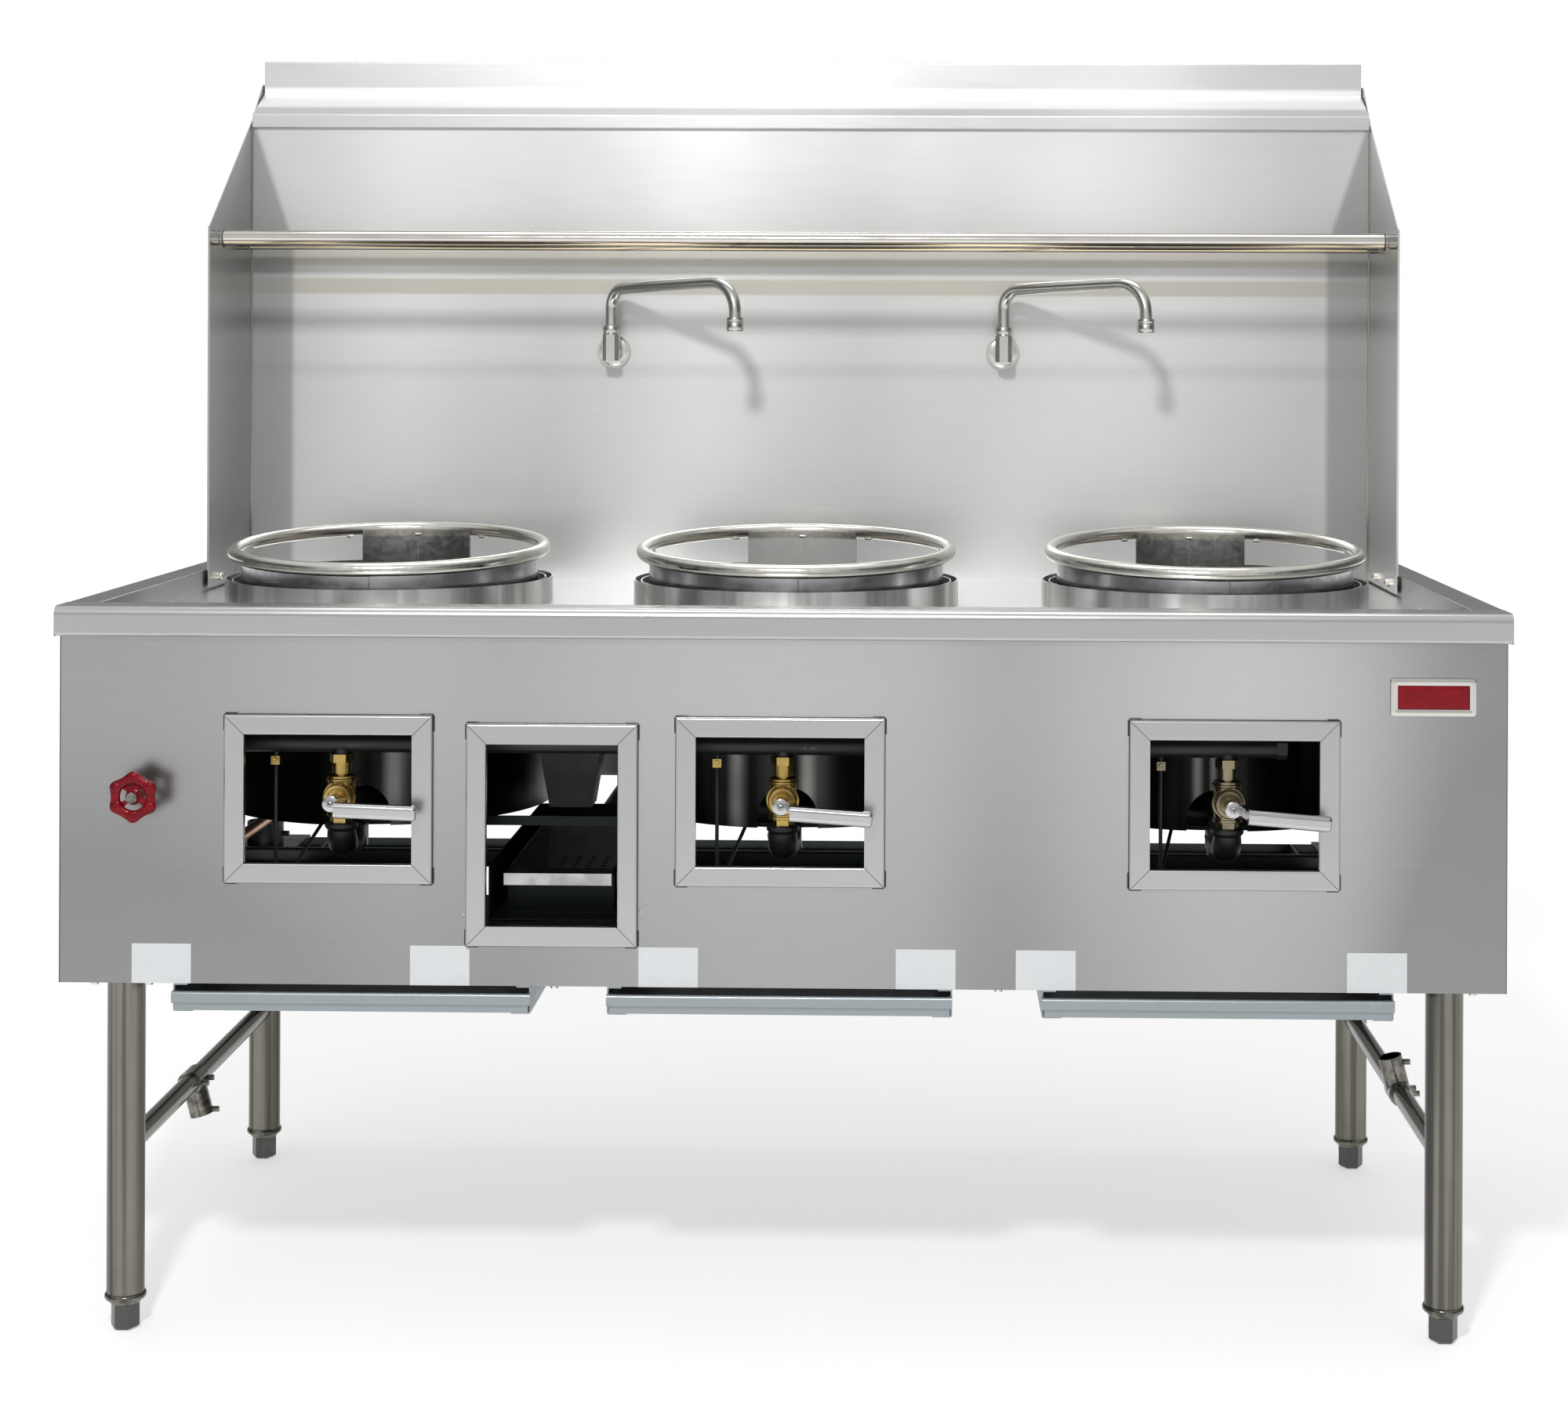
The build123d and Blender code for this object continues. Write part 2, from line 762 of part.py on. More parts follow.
tilt = radians(ring_tilt)
band_bottom = lining_seat + rest_gap
for side, x in zip(sides, wok_xs):
    with BuildPart() as wok_ring:
        rod(
            (x, wok_y, band_bottom),
            (0, 0, 1),
            ring_height - band_bottom + ring_outer * sin(tilt),
            band_outer,
            band_outer - 2 * band_wall,
        )
        split(
            bisect_by=Plane(origin=(x, wok_y, ring_height), z_dir=(0, -sin(tilt), cos(tilt))),
            keep=Keep.BOTTOM,
        )
        # the two vents left and right of the rear plate
        for hand in (-1, 1):
            with BuildSketch(Plane.XY.offset(vent_sill)) as vent:
                with BuildLine():
                    corners = [
                        (
                            x + hand * ring_outer * sin(radians(angle)),
                            wok_y + ring_outer * cos(radians(angle)),
                        )
                        for angle in (vent_start, (vent_start + vent_end) / 2, vent_end)
                    ]
                    Polyline((x, wok_y), *corners, close=True)
                make_face()
            extrude(vent.sketch, amount=ring_outer, mode=Mode.SUBTRACT)
        with Locations((x, wok_y, ring_height)):
            Torus((ring_outer - ring_tube) / 2, ring_tube / 2, rotation=(ring_tilt, 0, 0))
    save(wok_ring, f"wok_ring_{side}")

# ---- burners ------------------------------------------------------------------------------
burner_under = burner_top - burner_rim
burner_bottom = feed_height - feed_socket / 2 - burner_floor
with BuildPart() as burners:
    for x, feed_x in zip(wok_xs, window_xs):
        with BuildSketch(Plane.XZ.offset(-wok_y)) as bowl:
            with Locations((x, 0)):
                Polygon(
                    (0, burner_bottom),
                    (burner_neck / 2, burner_bottom),
                    (burner_outer / 2, burner_under),
                    (burner_outer / 2, burner_top),
                    (0, burner_top),
                    align=None,
                )
        revolve(bowl.sketch, axis=Axis((x, wok_y, 0), (0, 0, 1)))
        for circle, count in jet_rings:
            with BuildSketch(Plane.XY.offset(burner_top)) as jets:
                with Locations((x, wok_y)):
                    with PolarLocations(circle / 2, count):
                        Circle(jet_outer / 2)
            extrude(jets.sketch, amount=jet_length)
        # feet that stand on the drum's inner ledge
        foot_reach = lining_throat / 2 - slide_gap
        for turn in range(burner_feet):
            angle = radians(90 + turn * 360 / burner_feet)
            with BuildSketch(
                Plane(
                    origin=(x, wok_y, ledge_height),
                    x_dir=(cos(angle), sin(angle), 0),
                    z_dir=(0, 0, 1),
                )
            ) as arm:
                with Locations((foot_reach / 2, 0)):
                    Rectangle(foot_reach, burner_foot_width)
            extrude(arm.sketch, amount=burner_top - ledge_height - bend)
        rod(
            (feed_x, wok_y - feed_socket_length, feed_height),
            (0, 1, 0),
            feed_socket_length,
            feed_socket,
        )
        rod(
            (feed_x, wok_y - feed_socket_length, feed_height),
            (0, 1, 0),
            feed_insert,
            feed_pipe + 2 * stem_play,
            mode=Mode.SUBTRACT,
        )
save(burners, "burners")

rise_start, rise_end = (front_y + depth for depth in feed_rise_depths)
with BuildPart() as burner_pipes:
    for x in window_xs:
        elbow = (x, valve_y, elbow_z)
        feed_end = (x, wok_y - feed_socket_length + feed_insert, feed_height)
        pipe_run(
            [
                (x, valve_y, valve_bottom),
                elbow,
                (x, rise_start, elbow_z),
                (x, rise_end, feed_height),
                feed_end,
            ],
            feed_bend,
            feed_pipe,
            feed_bore,
        )
        pipe_run(
            [(x, valve_y, valve_bottom), elbow, (x, valve_y + fitting_length, elbow_z)],
            feed_bend,
            fitting_outer,
            feed_bore,
        )
        hex_bar(
            (x, valve_y + union_start, elbow_z),
            (0, 1, 0),
            union_length,
            union_flats,
            feed_bore,
        )
        pipe_run(
            [
                (x, rise_start - fitting_length / 2, elbow_z),
                (x, rise_start, elbow_z),
                (x, rise_end, feed_height),
                (x, rise_end + fitting_length / 2, feed_height),
            ],
            feed_bend,
            fitting_outer,
            feed_bore,
        )
save(burner_pipes, "burner_pipes")

# ---- gas line, plug valves and levers -----------------------------------------------------
with BuildPart() as gas_manifold:
    pipe_run(
        [
            (manifold_right, valve_y, manifold_height),
            (service_x, valve_y, manifold_height),
            (service_x, rear_y + slide_gap, manifold_height),
        ],
        manifold_bend,
        manifold_pipe,
        manifold_bore,
    )
    service_end(service_x, manifold_height, manifold_pipe, manifold_bore)
    hex_bar(
        (manifold_right, valve_y, manifold_height),
        (1, 0, 0),
        manifold_pipe / 2,
        manifold_pipe,
    )
    for x in window_xs:
        rod(
            (x, valve_y, union_top),
            (0, 0, 1),
            manifold_pipe / 2 - (manifold_pipe - manifold_bore) / 2 + manifold_clear,
            feed_pipe,
        )
        rod(
            (x - pilot_offset, valve_y, pilot_top),
            (0, 0, 1),
            pilot_drop + (manifold_pipe - manifold_bore) / 2,
            pilot_boss,
        )
    for x in manifold_bracket_xs:
        block(
            (x - bracket_size[0] / 2, inside_y, manifold_height - bracket_size[1] / 2),
            (
                x + bracket_size[0] / 2,
                valve_y - manifold_bore / 2 - bend,
                manifold_height + bracket_size[1] / 2,
            ),
        )
save(gas_manifold, "gas_manifold")

with BuildPart() as gas_unions:
    for x in window_xs:
        barrel_bottom = valve_top + valve_neck_length
        rod((x, valve_y, barrel_bottom), (0, 0, 1), union_barrel_length, union_barrel, feed_bore)
        hex_bar(
            (x, valve_y, barrel_bottom + union_barrel_length),
            (0, 0, 1),
            union_nut_length,
            union_nut,
            feed_bore,
        )
save(gas_unions, "gas_unions")

face_y = front_y + valve_face_depth
boss_y = face_y - bonnet_boss_length
with BuildPart() as gas_valves:
    for x in window_xs:
        valve_low = valve_height - valve_body_height / 2
        rod((x, valve_y, valve_low), (0, 0, 1), valve_body_height, valve_body)
        rod((x, valve_y, valve_top), (0, 0, 1), valve_neck_length, valve_neck)
        hex_bar((x, valve_y, valve_bottom), (0, 0, 1), valve_hex_length, valve_hex)
        rod((x, face_y + bonnet_wall, valve_height), (0, 1, 0), valve_y - face_y, valve_barrel)
        rod((x, face_y, valve_height), (0, 1, 0), bonnet_wall, bonnet_outer)
        rod((x, boss_y, valve_height), (0, 1, 0), bonnet_boss_length, bonnet_boss)
        rod(
            (x, boss_y, valve_height),
            (0, 1, 0),
            stem_insert + rest_gap,
            lever_stem + 2 * stem_play,
            mode=Mode.SUBTRACT,
        )
save(gas_valves, "gas_valves")

hub_y = front_y + lever_hub_depth
grip_y = front_y - grip_ahead
for side, x, droop in zip(sides, window_xs, lever_droops):
    along = (cos(radians(droop)), 0, -sin(radians(droop)))
    upward = (sin(radians(droop)), 0, cos(radians(droop)))
    hub_back = hub_y + lever_hub_length
    with BuildPart() as gas_lever:
        rod((x, hub_y, valve_height), (0, 1, 0), lever_hub_length, lever_hub)
        rod(
            (x, hub_back, valve_height),
            (0, 1, 0),
            boss_y + stem_insert - hub_back,
            lever_stem,
        )
        # neck that carries the grip forward, out of the window
        with BuildSketch(
            Plane(origin=(x, 0, valve_height), x_dir=along, z_dir=upward)
        ) as neck:
            Polygon(
                (lever_stem / 2, hub_back),
                (lever_stem / 2, hub_y),
                (lever_hub / 2, hub_y),
                (grip_start, grip_y),
                (grip_start + neck_width, grip_y),
                (lever_hub / 2 + neck_width, hub_back),
                align=None,
            )
        extrude(neck.sketch, amount=neck_height / 2, both=True)
        grip_foot = tuple(
            base + grip_start * step for base, step in zip((x, grip_y, valve_height), along)
        )
        with BuildSketch(Plane(origin=grip_foot, x_dir=upward, z_dir=along)) as grip:
            SlotOverall(grip_height, grip_thickness)
        extrude(grip.sketch, amount=grip_length)
        tip = gas_lever.faces().filter_by(Plane(origin=(0, 0, 0), z_dir=along)).sort_by(Axis.X)[-1]
        fillet(tip.edges(), radius=grip_round)
        rod(
            (x, hub_y - lever_screw_head, valve_height),
            (0, 1, 0),
            lever_screw_head,
            lever_screw,
        )
    save(gas_lever, f"gas_lever_{side}")

# ---- pilot cocks --------------------------------------------------------------------------
pilot_front = valve_y - pilot_block / 2
with BuildPart() as pilot_valves:
    for x in window_xs:
        centre = x - pilot_offset
        block(
            (centre - pilot_block / 2, pilot_front, pilot_top - pilot_block),
            (centre + pilot_block / 2, pilot_front + pilot_block, pilot_top),
        )
        rod(
            (centre, pilot_front, pilot_z),
            (0, 1, 0),
            pilot_block / 2 + rest_gap,
            pilot_stem + 2 * stem_play,
            mode=Mode.SUBTRACT,
        )
save(pilot_valves, "pilot_valves")

for side, x in zip(sides, window_xs):
    with BuildPart() as pilot_key_piece:
        key_front = pilot_front - rest_gap - pilot_key_head
        rod((x - pilot_offset, key_front, pilot_z), (0, 1, 0), pilot_key_head, pilot_key)
        rod(
            (x - pilot_offset, key_front, pilot_z),
            (0, 1, 0),
            pilot_key_head + rest_gap + pilot_block / 2,
            pilot_stem,
        )
        block(
            (x - pilot_offset - pilot_key, key_front, pilot_z - sheet / 2),
            (x - pilot_offset + pilot_key, key_front + sheet, pilot_z + sheet / 2),
            mode=Mode.SUBTRACT,
        )
    save(pilot_key_piece, f"pilot_key_{side}")

with BuildPart() as pilot_tubes:
    for x in window_xs:
        start = (x - pilot_offset, valve_y, pilot_top - pilot_block)
        low = (x - pilot_offset, valve_y, pilot_tube_low)
        turn = (x - pilot_offset, valve_y + pilot_tube_turn, pilot_tube_low)
        end = (x - pilot_end_offset, wok_y - pilot_end_gap, burner_top - pilot_end_drop)
        pipe_run([start, low, turn, end], pilot_tube_bend, pilot_tube, pilot_tube / 2)
        rod(end, (0, 0, 1), pilot_head_length, pilot_head)
save(pilot_tubes, "pilot_tubes")

# ---- handwheel and water line -------------------------------------------------------------
nut_y = front_y - wheel_reach
rim_y = nut_y + wheel_set
hub_start = nut_y + wheel_nut_length
with BuildPart() as handwheel:
    with BuildSketch(Plane.XZ.offset(-rim_y - wheel_rim)) as outline:
        with Locations((wheel_x, wheel_height)):
            Circle(wheel_waist / 2)
            with PolarLocations(wheel_outer / 2 - wheel_lobe, wheel_lobes, start_angle=90):
                Circle(wheel_lobe)
            Circle(wheel_opening / 2, mode=Mode.SUBTRACT)
    extrude(outline.sketch, amount=wheel_rim)
    # dished web with three spokes, set back from the rim's face
    with BuildSketch(Plane.XZ.offset(-rim_y - wheel_rim)) as web:
        with Locations((wheel_x, wheel_height)):
            with PolarLocations(wheel_spoke_circle / 2, wheel_spokes, start_angle=90):
                Rectangle(*wheel_spoke)
    extrude(web.sketch, amount=wheel_web)
    rod((wheel_x, hub_start, wheel_height), (0, 1, 0), wheel_hub_length, wheel_hub)
    rod(
        (wheel_x, hub_start, wheel_height),
        (0, 1, 0),
        wheel_hub_length,
        water_stem,
        mode=Mode.SUBTRACT,
    )
    fillet(
        handwheel.faces().filter_by(GeomType.PLANE).sort_by(Axis.Y)[0].outer_wire().edges(),
        radius=wheel_round,
    )
save(handwheel, "handwheel")

with BuildPart() as handwheel_stem:
    rod(
        (wheel_x, hub_start, wheel_height),
        (0, 1, 0),
        inside_y + water_stem_insert - hub_start,
        water_stem,
    )
    hex_bar((wheel_x, nut_y, wheel_height), (0, 1, 0), wheel_nut_length, wheel_nut)
save(handwheel_stem, "handwheel_stem")

water_y = front_y + water_valve_depth
with BuildPart() as water_valve:
    rod((wheel_x, inside_y, wheel_height), (0, 1, 0), water_valve_body, water_valve_body)
    rod((wheel_x, water_y, wheel_height), (-1, 0, 0), water_port_reach, water_port)
    rod((wheel_x, water_y, wheel_height), (0, 0, -1), water_port_reach, water_port)
    with Locations((wheel_x, water_y, wheel_height)):
        Sphere(water_valve_body / 2 + bend)
    rod(
        (wheel_x, inside_y, wheel_height),
        (0, 1, 0),
        water_stem_insert + rest_gap,
        water_stem + 2 * stem_play,
        mode=Mode.SUBTRACT,
    )
save(water_valve, "water_valve")

with BuildPart() as water_pipes:
    pipe_run(
        [
            (wheel_x - water_port_reach, water_y, wheel_height),
            (service_x, water_y, wheel_height),
            (service_x, water_y, water_turn_height),
            (service_x, riser_y, water_turn_height),
            (service_x, riser_y, spout_height),
            (spout_x, riser_y, spout_height),
            (spout_x, back_y + spout_shank_length, spout_height),
        ],
        [water_elbow, water_bend, water_bend, water_bend, water_bend],
        water_pipe,
        water_bore,
    )
    rod(
        (-spout_x, back_y + spout_shank_length, spout_height),
        (0, 1, 0),
        riser_y - back_y - spout_shank_length - water_bore / 2,
        water_pipe,
    )
    pipe_run(
        [
            (wheel_x, water_y, wheel_height - water_port_reach),
            (wheel_x, water_y, water_inlet_height),
            (wheel_x, rear_y + slide_gap, water_inlet_height),
        ],
        water_bend,
        water_pipe,
        water_bore,
    )
    service_end(wheel_x, water_inlet_height, water_pipe, water_bore)
save(water_pipes, "water_pipes")

# ---- swing spouts -------------------------------------------------------------------------
with BuildPart() as faucet_bases:
    for x in (-spout_x, spout_x):
        rod((x, back_y - spout_plate_wall, spout_height), (0, 1, 0), spout_plate_wall, spout_plate)
        rod((x, back_y, spout_height), (0, 1, 0), spout_shank_length, spout_shank)
        rod((x, spout_y, spout_height), (0, 1, 0), spout_stand, column_width - bend)
        with BuildSketch(Plane.XY.offset(column_bottom)) as column:
            with Locations((x, spout_y)):
                Rectangle(column_width, column_width)
            chamfer(column.vertices(), length=column_chamfer)
        extrude(column.sketch, amount=column_shoulder - column_bottom)
        rod(
            (x, spout_y, column_shoulder),
            (0, 0, 1),
            column_top - column_shoulder,
            column_width - bend,
        )
        rod(
            (x, spout_y, column_top - spout_plug - rest_gap),
            (0, 0, 1),
            spout_plug + rest_gap,
            spout_tube + 2 * spout_play,
            mode=Mode.SUBTRACT,
        )
save(faucet_bases, "faucet_bases")

swing = radians(spout_swing)
for side, x in (("left", -spout_x), ("right", spout_x)):
    outlet_x = x + spout_reach * cos(swing)
    outlet_y = spout_y - spout_reach * sin(swing)
    with BuildPart() as spout:
        pipe_run(
            [
                (x, spout_y, column_top - spout_plug),
                (x, spout_y, spout_run_height),
                (outlet_x, outlet_y, spout_run_height + spout_climb),
                (outlet_x, outlet_y, outlet_height),
            ],
            spout_bends,
            spout_tube,
            spout_tube - 2 * spout_wall,
        )
        rod(
            (outlet_x, outlet_y, outlet_height),
            (0, 0, 1),
            aerator_lap,
            aerator_outer,
            spout_tube + spout_play,
        )
        rod(
            (outlet_x, outlet_y, outlet_height),
            (0, 0, -1),
            aerator_length - aerator_lap,
            aerator_outer,
            aerator_bore,
        )
    save(spout, f"spout_{side}")

# ---- window trims, badge and labels -------------------------------------------------------
trim_y = panel_y - trim_proud
windows = [(x, window_height, window_size) for x in window_xs]
windows.append((drain_x, drain_window_height, drain_window_size))
with BuildPart() as window_trims:
    for x, z, (width, height) in windows:
        with BuildSketch(Plane.XZ.offset(-panel_y)) as face:
            with Locations((x, z)):
                Rectangle(width + 2 * trim_face, height + 2 * trim_face)
                Rectangle(width, height, mode=Mode.SUBTRACT)
        extrude(face.sketch, amount=trim_proud)
    outer_edges = [
        edge
        for edge in window_trims.edges().filter_by_position(Axis.Y, trim_y, trim_y)
        if edge.length > min(drain_window_size) + trim_face
        or edge.length > window_size[1] + trim_face
    ]
    fillet(outer_edges, radius=trim_round)
    for x, z, (width, height) in windows:
        with BuildSketch(Plane.XZ.offset(-panel_y)) as groove:
            with Locations((x, z)):
                Rectangle(
                    width + 2 * trim_face - 2 * trim_wall,
                    height + 2 * trim_face - 2 * trim_wall,
                )
                Rectangle(width + 2 * trim_wall, height + 2 * trim_wall, mode=Mode.SUBTRACT)
        extrude(groove.sketch, amount=trim_proud - trim_wall - trim_round, mode=Mode.SUBTRACT)
        with BuildSketch(Plane.XZ.offset(-panel_y)) as mitres:
            for right in (-1, 1):
                for up in (-1, 1):
                    with Locations(
                        (
                            x + right * (width + trim_face) / 2,
                            z + up * (height + trim_face) / 2,
                        )
                    ):
                        Rectangle(3 * trim_face, mitre_gap, rotation=45 * right * up)
        extrude(mitres.sketch, amount=trim_proud, mode=Mode.SUBTRACT)
save(window_trims, "window_trims")

with BuildPart() as badge:
    with BuildSketch(Plane.XZ.offset(-panel_y)) as plate:
        with Locations((badge_x, badge_height)):
            Rectangle(*badge_size)
    extrude(plate.sketch, amount=badge_thickness)
    chamfer(
        badge.faces().sort_by(Axis.Y)[0].outer_wire().edges(),
        length=badge_thickness / 2,
    )
    with BuildSketch(Plane.XZ.offset(-panel_y - badge_face)) as sunk_face:
        with Locations((badge_x, badge_height)):
            Rectangle(*badge_insert)
    extrude(sunk_face.sketch, amount=badge_thickness, mode=Mode.SUBTRACT)
save(badge, "badge")

with BuildPart() as blank_labels:
    for x in label_xs:
        block(
            (x - label_size[0] / 2, panel_y - label_thickness, panel_bottom),
            (x + label_size[0] / 2, panel_y, panel_bottom + label_size[1]),
        )
save(blank_labels, "blank_labels")

# ---- drip trays and their runners ---------------------------------------------------------
runner_y = front_y + runner_front_depth
tray_floor = runner_bottom + runner_wall + rest_gap
handle_top = panel_bottom - handle_top_gap
for side, x, width in zip(sides, tray_centres, tray_widths):
    half = width / 2 - runner_wall - slide_gap
    with BuildPart() as drip_tray:
        block(
            (x - half, runner_y, tray_floor),
            (x + half, runner_y + tray_length, panel_bottom - tray_headroom),
        )
        block(
            (x - half + tray_wall, runner_y + tray_wall, tray_floor + tray_wall),
            (
                x + half - tray_wall,
                runner_y + tray_length - tray_wall,
                panel_bottom - tray_headroom,
            ),
            mode=Mode.SUBTRACT,
        )
        # front handle strip, across the ends of the runners
        with BuildSketch(Plane.YZ.offset(x - width / 2)) as strip:
            with Locations(
                (runner_y - slide_gap - handle_thickness / 2, handle_top - handle_height / 2)
            ):
                RectangleRounded(handle_thickness, handle_height, handle_round)
        extrude(strip.sketch, amount=width)
        block(
            (x - half, runner_y - handle_thickness / 2, tray_floor),
            (x + half, runner_y, handle_top - handle_round),
        )
    save(drip_tray, f"drip_tray_{side}")

with BuildPart() as tray_runners:
    for x, width in zip(tray_centres, tray_widths):
        for sign in (-1, 1):
            web = x + sign * width / 2
            section = folded(
                Plane.XZ.offset(-runner_y),
                [
                    (web - sign * runner_top, panel_bottom),
                    (web, panel_bottom),
                    (web, runner_bottom),
                    (web - sign * runner_foot, runner_bottom),
                ],
                Side.RIGHT if sign > 0 else Side.LEFT,
                radius=runner_wall + rest_gap,
                thickness=runner_wall,
            )
            extrude(section, amount=-tray_length)
save(tray_runners, "tray_runners")

# ---- drain: hopper, housing and scrap drawer ----------------------------------------------
drain_y = front_y + drain_depth
with BuildPart() as scrap_hopper:
    for shrink, mode in ((0, Mode.ADD), (sheet, Mode.SUBTRACT)):
        with BuildSketch(Plane.XY.offset(deck_under)) as mouth:
            with Locations((drain_x, drain_y)):
                Rectangle(drain_size[0] + 2 * sheet - 2 * shrink, drain_size[1] + 2 * sheet - 2 * shrink)
        with BuildSketch(Plane.XY.offset(hopper_bottom)) as outlet:
            with Locations((drain_x, drain_y)):
                Rectangle(hopper_outlet[0] - 2 * shrink, hopper_outlet[1] - 2 * shrink)
        loft([mouth.sketch, outlet.sketch], mode=mode)
    with BuildSketch(Plane.XY.offset(deck_under - sheet)) as flange:
        with Locations((drain_x, drain_y)):
            Rectangle(drain_size[0] + 2 * hopper_flange, drain_size[1] + 2 * hopper_flange)
            Rectangle(*drain_size, mode=Mode.SUBTRACT)
    extrude(flange.sketch, amount=sheet)
save(scrap_hopper, "scrap_hopper")

housing_y = front_y + housing_front_depth
housing_back = housing_y + housing_length
housing_left = drain_x - housing_width / 2
housing_right = drain_x + housing_width / 2
with BuildPart() as scrap_housing:
    for wall_x, foot_sign in ((housing_left, 1), (housing_right - sheet, -1)):
        block((wall_x, housing_y, frame_top), (wall_x + sheet, housing_back, housing_top))
        near, far = sorted((wall_x, wall_x + foot_sign * housing_foot))
        block((near, housing_y, frame_top), (far, housing_back, frame_top + sheet))
    block(
        (housing_left, housing_y, housing_floor),
        (housing_right, housing_back, housing_floor + sheet),
    )
    block(
        (housing_left, housing_back - sheet, housing_floor),
        (housing_right, housing_back, housing_top),
    )
    pipe_length = rear_y + slide_gap - housing_back
    rod((drain_x, housing_back, drain_pipe_height), (0, 1, 0), pipe_length, drain_pipe, drain_bore)
    rod(
        (drain_x, housing_back - sheet, drain_pipe_height),
        (0, 1, 0),
        sheet,
        drain_bore,
        mode=Mode.SUBTRACT,
    )
    service_end(drain_x, drain_pipe_height, drain_pipe, drain_bore)
    # cross strap behind the window, with both ends turned forward to the front panel
    strap_y = front_y + strap_depth
    strap_left = drain_x - strap_length / 2
    strap_right = drain_x + strap_length / 2
    strap_top = strap_bottom + strap_height
    block((strap_left, strap_y - strap_wall, strap_bottom), (strap_right, strap_y, strap_top))
    block((strap_left, inside_y, strap_bottom), (strap_left + strap_wall, strap_y, strap_top))
    block((strap_right - strap_wall, inside_y, strap_bottom), (strap_right, strap_y, strap_top))
save(scrap_housing, "scrap_housing")

drawer_y = front_y + drawer_front_depth
drawer_floor = housing_floor + sheet + rest_gap
drawer_top = drawer_floor + drawer_height
drawer_left = drain_x - drawer_width / 2
drawer_right = drain_x + drawer_width / 2
with BuildPart() as scrap_drawer:
    block((drawer_left, drawer_y, drawer_floor), (drawer_right, drawer_y + drawer_length, drawer_top))
    block(
        (drawer_left + sheet, drawer_y + sheet, drawer_floor + sheet),
        (drawer_right - sheet, drawer_y + drawer_length - sheet, drawer_top),
        mode=Mode.SUBTRACT,
    )
    # pull: the front edge folded out and down
    block((drawer_left, drawer_y - drawer_pull, drawer_top - sheet), (drawer_right, drawer_y, drawer_top))
    block(
        (drawer_left, drawer_y - drawer_pull, drawer_top - drawer_lip),
        (drawer_right, drawer_y - drawer_pull + sheet, drawer_top),
    )
    with BuildSketch(Plane.XY.offset(drawer_floor)) as holes:
        with Locations((drain_x, drawer_y + drawer_length / 2)):
            with GridLocations(
                drawer_hole_pitch,
                drawer_hole_pitch,
                int((drawer_width - drawer_hole_pitch) / drawer_hole_pitch),
                int((drawer_length - drawer_hole_pitch) / drawer_hole_pitch),
            ):
                Circle(drawer_hole / 2)
    extrude(holes.sketch, amount=sheet, mode=Mode.SUBTRACT)
save(scrap_drawer, "scrap_drawer")

# ---- base frame, legs and feet ------------------------------------------------------------
with BuildPart() as base_frame:
    for low, wall in (
        (frame_front, frame_front),
        (frame_rear - frame_bar, frame_rear - frame_wall),
    ):
        block((-hem_half, low, panel_bottom), (hem_half, low + frame_bar, panel_bottom + frame_wall))
        block((-hem_half, wall, panel_bottom), (hem_half, wall + frame_wall, frame_top))
    bars = [(-hem_half, -hem_half), (hem_half - frame_bar, hem_half - frame_wall)]
    for x, width in zip(tray_centres, tray_widths):
        left = x - width / 2
        right = x + width / 2
        bars.append((left, left))
        bars.append((right - frame_bar, right - frame_wall))
    for low, wall in bars:
        block((low, frame_front, panel_bottom), (low + frame_bar, frame_rear, panel_bottom + frame_wall))
        block((wall, frame_front, panel_bottom), (wall + frame_wall, frame_rear, frame_top))
save(base_frame, "base_frame")

leg_places = [
    (sign * leg_x, front_y + depth, front_y + edge)
    for depth, edge in zip(leg_depths, (rail_nose + hem, body_depth - sheet))
    for sign in (-1, 1)
]
with BuildPart() as leg_sockets:
    for x, y, edge_y in leg_places:
        near, far = sorted((edge_y, y - socket_reach if edge_y > y else y + socket_reach))
        block(
            (x - socket_reach, near, frame_top),
            (x + socket_reach, far, frame_top + socket_wall),
        )
        rod(
            (x, y, panel_bottom + sheet),
            (0, 0, 1),
            socket_top - panel_bottom - sheet,
            leg_tube + 2 * socket_wall,
        )
        rod(
            (x, y, panel_bottom + sheet),
            (0, 0, 1),
            socket_top - panel_bottom - sheet,
            leg_tube + 2 * rest_gap,
            mode=Mode.SUBTRACT,
        )
        inward = -1 if x > 0 else 1
        screw_x = x + inward * (leg_tube / 2)
        rod(
            (screw_x, y, (socket_top + frame_top + socket_wall) / 2),
            (inward, 0, 0),
            socket_wall + clamp_screw_length,
            clamp_screw,
        )
save(leg_sockets, "leg_sockets")

with BuildPart() as legs:
    tube_bottom = foot_height + bead_height
    for x, y, _ in leg_places:
        rod((x, y, foot_height), (0, 0, 1), leg_top - foot_height, leg_tube)
        with BuildSketch(Plane.XY.offset(foot_height)) as bead:
            with Locations((x, y)):
                Circle(bead_outer / 2)
        extrude(bead.sketch, amount=bead_height)
        rod(
            (x, y, foot_height + stud_length + bead_height),
            (0, 0, 1),
            leg_top - foot_height - stud_length - bead_height,
            leg_tube - 2 * leg_wall,
            mode=Mode.SUBTRACT,
        )
        rod(
            (x, y, foot_height),
            (0, 0, 1),
            stud_length + bead_height,
            stud + 2 * stem_play,
            mode=Mode.SUBTRACT,
        )
    bead_edges = [
        edge
        for edge in legs.edges().filter_by(GeomType.CIRCLE)
        if abs(edge.radius - bead_outer / 2) < rest_gap
    ]
    fillet(bead_edges, radius=bead_round)
save(legs, "legs")

